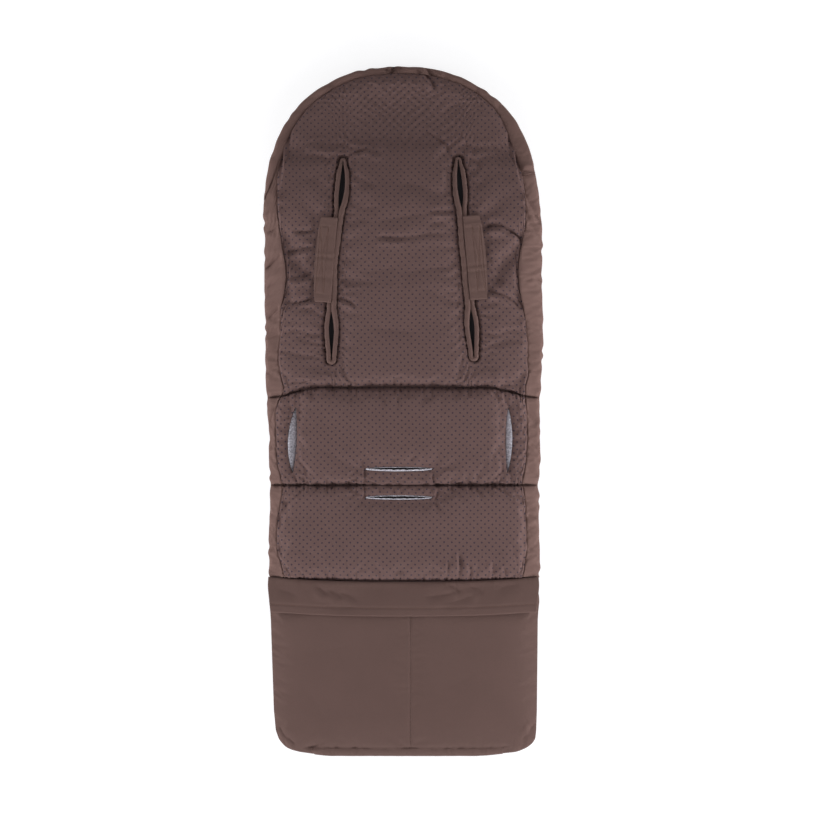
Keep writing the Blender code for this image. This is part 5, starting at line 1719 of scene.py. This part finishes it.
def stitches(name, lines, height, pitch=0.0030, long=0.0022):
    """Single stitches of thread along lines, each sunk a little at both ends."""
    made = bmesh.new()
    for points in lines:
        for (x0, y0), (x1, y1) in zip(points, points[1:]):
            length = math.hypot(x1 - x0, y1 - y0)
            count = max(int(length / pitch), 1)
            along = Vector(((x1 - x0) / length, (y1 - y0) / length, 0))
            out, up = Vector((-along.y, along.x, 0)), Vector((0, 0, 1))
            for k in range(count):
                t = (k + 0.5) / count
                middle = Vector((mix(x0, x1, t), mix(y0, y1, t), 0))
                rings = []
                for step, wide, sunk in STITCH_RINGS:
                    centre = middle + along * (step * long / 2)
                    centre.z = height(centre.x, centre.y) - sunk
                    rings.append(ring_of(made, centre, out, up, THREAD_RADIUS * wide, 5))
                for one, two in zip(rings, rings[1:]):
                    join_rings(made, one, two)
                made.faces.new(rings[0][::-1])
                made.faces.new(rings[-1])
    return closed_piece(made, name, thread_finish)


TAB_WIDE, TAB_THICK = 0.0265, 0.0016
PATCH_NEAR, PATCH_FAR, PATCH_THICK = 0.0125, 0.0245, 0.0009
# The sewn box: its sides' distances from the hinge, and its ends' from the tab's ends.
SEWN_NEAR, SEWN_FAR, SEWN_START, SEWN_END = 0.0125, 0.0235, 0.012, 0.014

for side, way in (("left", -1), ("right", 1)):
    high, low = harness_spot(side, 0.29), harness_spot(side, 0.715)
    along = (high - low) / np.linalg.norm(high - low)
    outward = np.array([along[1], -along[0]]) * way
    length = float(np.linalg.norm(high - low))

    def tab_point(run, reach):
        """The point that far along the tab and that far out from its hinge."""
        return tuple(low[i] + along[i] * run + outward[i] * reach for i in (0, 1))

    def tab_spot(run, reach):
        return tuple(float(value) for value in tab_point(run, reach))

    def tab_place(first, last, margin):
        """Lays a net out on the tab, from one distance from its hinge to another."""
        return lambda u, v: tab_point(mix(margin, length - margin, v), mix(first, last(v), u))

    def tab_uv(x, y):
        """How far along the tab and how far out from its hinge a point lies."""
        run = (x - low[0]) * along[0] + (y - low[1]) * along[1]
        reach = (x - low[0]) * outward[0] + (y - low[1]) * outward[1]
        return run, reach

    def tab_low(x, y):
        """Its underside comes out of the crevice between the welts and over the outer one."""
        reach = tab_uv(x, y)[1]
        return mat_top(x, y) - 0.0016 + 0.0043 * rise(reach, 0.0045)

    def tab_top(x, y):
        """Drawn down along the sewn box and its cross, with puckered ends and a turned edge."""
        run, reach = tab_uv(x, y)
        wide, tall = SEWN_FAR - SEWN_NEAR, length - SEWN_START - SEWN_END
        s, t = (reach - SEWN_NEAR) / wide, (run - SEWN_START) / tall
        box = np.minimum(np.minimum(s, 1 - s) * wide, np.minimum(t, 1 - t) * tall)
        cross = np.minimum(np.abs(s - t), np.abs(s - 1 + t)) * wide
        line = np.where(box > 0, np.exp(-((cross / 0.0012) ** 2)), 0)
        line = np.maximum(line, np.exp(-((box / 0.0012) ** 2)))
        edge = np.minimum(np.minimum(run, length - run), TAB_WIDE - reach)
        ends = [
            (*tab_spot(length - 0.002, 0.001), *tab_spot(length - 0.014, 0.012), 0.0016, 0.0016),
            (*tab_spot(length - 0.008, 0.000), *tab_spot(length - 0.010, 0.014), 0.0016, 0.0012),
            (*tab_spot(0.002, 0.002), *tab_spot(0.013, 0.013), 0.0016, 0.0014),
            (*tab_spot(0.000, 0.014), *tab_spot(0.012, 0.021), 0.0018, 0.0010),
        ]
        z = tab_low(x, y) + TAB_THICK + creased(x, y, ends)
        z = z - 0.0006 * line + np.where(box > 0, 0.00024, 0.0)
        return z - 0.0008 * (1 - rise(edge, 0.0012)) + 0.0005 * ripple(run, 0.021, 0.6 + way)

    tab = cushioned(
        f"closure_tab_cloth_{side}",
        tab_place(0.0003, lambda v: TAB_WIDE - 0.0020 + 0.0045 * np.sin(np.pi * v) ** 0.8, 0.0),
        tab_top,
        tab_low,
        (44, 120),
    )
    tab.data.materials.append(brown)
    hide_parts(f"closure_tab_{side}")
    root, free = tab_spot(length / 2, 0.0005), tab_spot(length / 2, 0.0050)
    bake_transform(tab)

    start, end = SEWN_START, length - SEWN_END
    corners = [tab_spot(start, SEWN_NEAR), tab_spot(start, SEWN_FAR)]
    corners += [tab_spot(end, SEWN_FAR), tab_spot(end, SEWN_NEAR)]
    lines = [[*corners, corners[0]], [corners[0], corners[2]], [corners[1], corners[3]]]
    sewing = stitches(
        f"tab_stitches_{side}", lines, lambda x, y: at_spot(tab_top, x, y) + 0.0001
    )
    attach(sewing, f"tab_{side}")

    for name, material, node, body, bottom in (
        ("hook_pile", hook_pile, "hook_patch", f"tab_{side}", 0.0015),
        ("loop_pile", loop_pile, "loop_patch", "head_mat", 0.0003),
    ):
        piece = cushioned(
            f"{name}_{side}",
            tab_place(PATCH_NEAR, level(PATCH_FAR), 0.002),
            lambda x, y: mat_top(x, y) + bottom + PATCH_THICK,
            lambda x, y: mat_top(x, y) + bottom,
            (12, 80),
        )
        piece.data.materials.append(material)
        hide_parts(f"{node}_{side}")
        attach(piece, body)


# The band over the foot zip
# A double strip of the smooth cloth, sewn into the seam above the foot bag and topstitched along
# its fold. It hangs over the zip that opens the foot bag.

BAND_Y, BAND_WIDE = -0.24655, 0.04975
TOPSTITCH_DOWN = BAND_WIDE - 0.0122


def band_top(x, y):
    """The band rises over the zip and lies in soft folds, drawn down along its topstitch."""
    down = BAND_Y - y
    z = 0.0458 + 0.0020 * rise(down, 0.006) + 0.0046 * smooth(down / BAND_WIDE)
    line = np.abs(down - TOPSTITCH_DOWN)
    z = z - 0.0009 * np.exp(-((line / 0.0016) ** 2))
    z = z - 0.0009 * (1 - rise(BAND_WIDE - down, 0.0016))
    waves = 0.0006 * np.sin(x / 0.026 + 3 * down / 0.05) * smooth(down / 0.01)
    gathers = 0.0005 * np.exp(-down / 0.006) * ripple(x, 0.012, 1.6)
    stitched = 0.00015 * np.exp(-line / 0.004) * ripple(x, 0.008, 0.7)
    folds = [
        (-128, -250, -104, -268, 3.5, 2.2),
        (-112, -258, -84, -274, 4.0, 2.2),
        (-96, -262, -62, -277, 3.5, 1.6),
        (-120, -284, -60, -280, 5.0, 1.0),
        (24, -268, 92, -256, 5.0, 1.8),
        (50, -277, 108, -263, 5.0, 1.4),
        (62, -250, 84, -266, 3.0, 2.0),
        (92, -252, 116, -268, 4.0, 1.8),
        (130, -262, 176, -256, 6.0, 1.2),
        (-186, -262, -150, -272, 6.0, 1.2),
    ]
    return z + waves + gathers + stitched + creased(x, y, folds)


def band_low(x, y):
    """Its underside clears the zip, and its ends turn down into the seam."""
    down = BAND_Y - y
    ends = smooth((np.abs(x) - 0.1885) / 0.002) * (1 - smooth(down / 0.006))
    return 0.0428 + 0.0055 * smooth(down / BAND_WIDE) - 0.0075 * ends


band = cushioned(
    "zip_band",
    between(
        lambda y: -(half_width(y) + 0.002),
        lambda y: half_width(y) + 0.002,
        level(BAND_Y - BAND_WIDE),
        level(BAND_Y),
        None,
    ),
    band_top,
    band_low,
    (230, 34),
    drawn=lambda x, y: (x, y + bowed(x) + 0.0005 * smooth((np.abs(x) - 0.12) / 0.05)),
)
band.data.materials.append(shaded_foot_brown)
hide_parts("band_flap")
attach(band, "band")


def bow_at(x):
    return float(bowed(np.array(x)))


band_thread = stitches(
    "band_topstitch",
    [[(x, BAND_Y - TOPSTITCH_DOWN + bow_at(x)) for x in np.linspace(-0.190, 0.190, 9)]],
    lambda x, y: at_spot(band_top, x, y - bow_at(x)) + 0.0002,
    pitch=0.0034,
    long=0.0026,
)
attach(band_thread, "band")


# The zips
# Coil zips run up both sides between cover and mat, and one across the top of the foot bag.
# Each has a brown tape and coil, a die-cast slider and a flat puller.


def tape_finish(name):
    """Twill tape with the coil's turns standing out of it."""
    made, shader, shade = finish(name)
    spot, x, y, _ = place_on(shade)
    turns = shade.sum("SINE", (x + y) * (2 * math.pi / 0.0013)) * 0.5 + 0.5
    fine = noise(shade, spot, 1200.0)
    value = (turns * 0.7 + fine * 0.4).stepped(0.2, 0.9)
    value.toned((0.045, 0.028, 0.025), (0.115, 0.074, 0.066)).to(shader, "Base Color")
    bumped(shade, turns, 0.9, 0.0007).to(shader, "Normal")
    shader.inputs["Roughness"].default_value = 0.55
    return made


def slider_finish(name):
    """Painted die-cast metal, rubbed brighter on its high spots."""
    made, shader, shade = finish(name)
    wear = noise(shade, place_on(shade)[0], 700.0, 4.0).stepped(0.45, 0.75)
    wear.toned((0.060, 0.045, 0.041), (0.200, 0.170, 0.155)).to(shader, "Base Color")
    (0.32 + wear * 0.18).to(shader, "Roughness")
    shader.inputs["Metallic"].default_value = 0.85
    return made


zip_tape = tape_finish("zip_tape_coil")
zip_metal = slider_finish("zip_metal_painted")
for node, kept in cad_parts.items():
    if "zip" in node or node == "seam_binding":
        metal = "slider" in node or "puller" in node
        kept.data.materials.clear()
        kept.data.materials.append(zip_metal if metal else zip_tape)


# The table and the lights
# A white table and room. Two long soft lamps stand close at the muff's sides, so that its edges
# are a little lighter than its middle, and two more stand further off beyond its ends.


def pictured(shade):
    """1 for what the picture shows directly, in a gloss or through something clear."""
    seen = shade.node("ShaderNodeLightPath")
    for output in (3, 6):
        seen = shade.sum("MAXIMUM", seen, shade.node("ShaderNodeLightPath", None, None, output))
    return seen


bpy.ops.object.select_all(action="DESELECT")
bpy.ops.mesh.primitive_plane_add(size=14, location=(0, 0, -0.0005))
table = bpy.context.object
table.name = "white_table"
bpy.ops.object.transform_apply(location=True, rotation=True, scale=True)
paper, paper_shader, paper_shade = finish("white_paper")
paper_shader.inputs["Base Color"].default_value = (0.80, 0.80, 0.81, 1)
paper_shader.inputs["Roughness"].default_value = 0.9
white = {"Color": (0.99, 0.99, 1.0, 1), "Strength": 1.3}
glow = paper_shade.node("ShaderNodeEmission", None, white)
plain = Shade(paper.node_tree, paper_shader.outputs["BSDF"])
shown = pictured(paper_shade) * 0.62
mixed = paper_shade.node("ShaderNodeMixShader", None, {0: shown, 1: plain, 2: glow})
mixed.to(paper.node_tree.nodes["Material Output"], "Surface")
table.data.materials.append(paper)

for name, place, turn, size, power in (
    ("left", (-0.80, -0.12, 0.28), (0, math.atan2(-0.80, 0.26), 0), (0.40, 1.4), 7.2),
    ("right", (0.80, -0.12, 0.28), (0, math.atan2(0.80, 0.26), 0), (0.40, 1.4), 9.0),
    ("foot", (0, -2.2, 0.9), (math.radians(68), 0, 0), (1.2, 0.8), 32),
    ("head", (0, 2.2, 0.9), (math.radians(-68), 0, 0), (1.2, 0.8), 4),
):
    bpy.ops.object.light_add(type="AREA", location=place, rotation=turn)
    lamp = bpy.context.object
    lamp.name = f"softbox_{name}"
    lamp.data.shape = "RECTANGLE"
    lamp.data.size, lamp.data.size_y = size
    lamp.data.energy = power
    lamp.visible_camera = False

world = bpy.data.worlds.new("white_room")
bpy.context.scene.world = world
world.use_nodes = True
room = Shade(world.node_tree)
back = world.node_tree.nodes["Background"]
back.inputs["Color"].default_value = (1, 1, 1, 1)
(pictured(room) * 0.74 + 0.26).to(back, "Strength")
bpy.context.scene.view_settings.view_transform = "Standard"
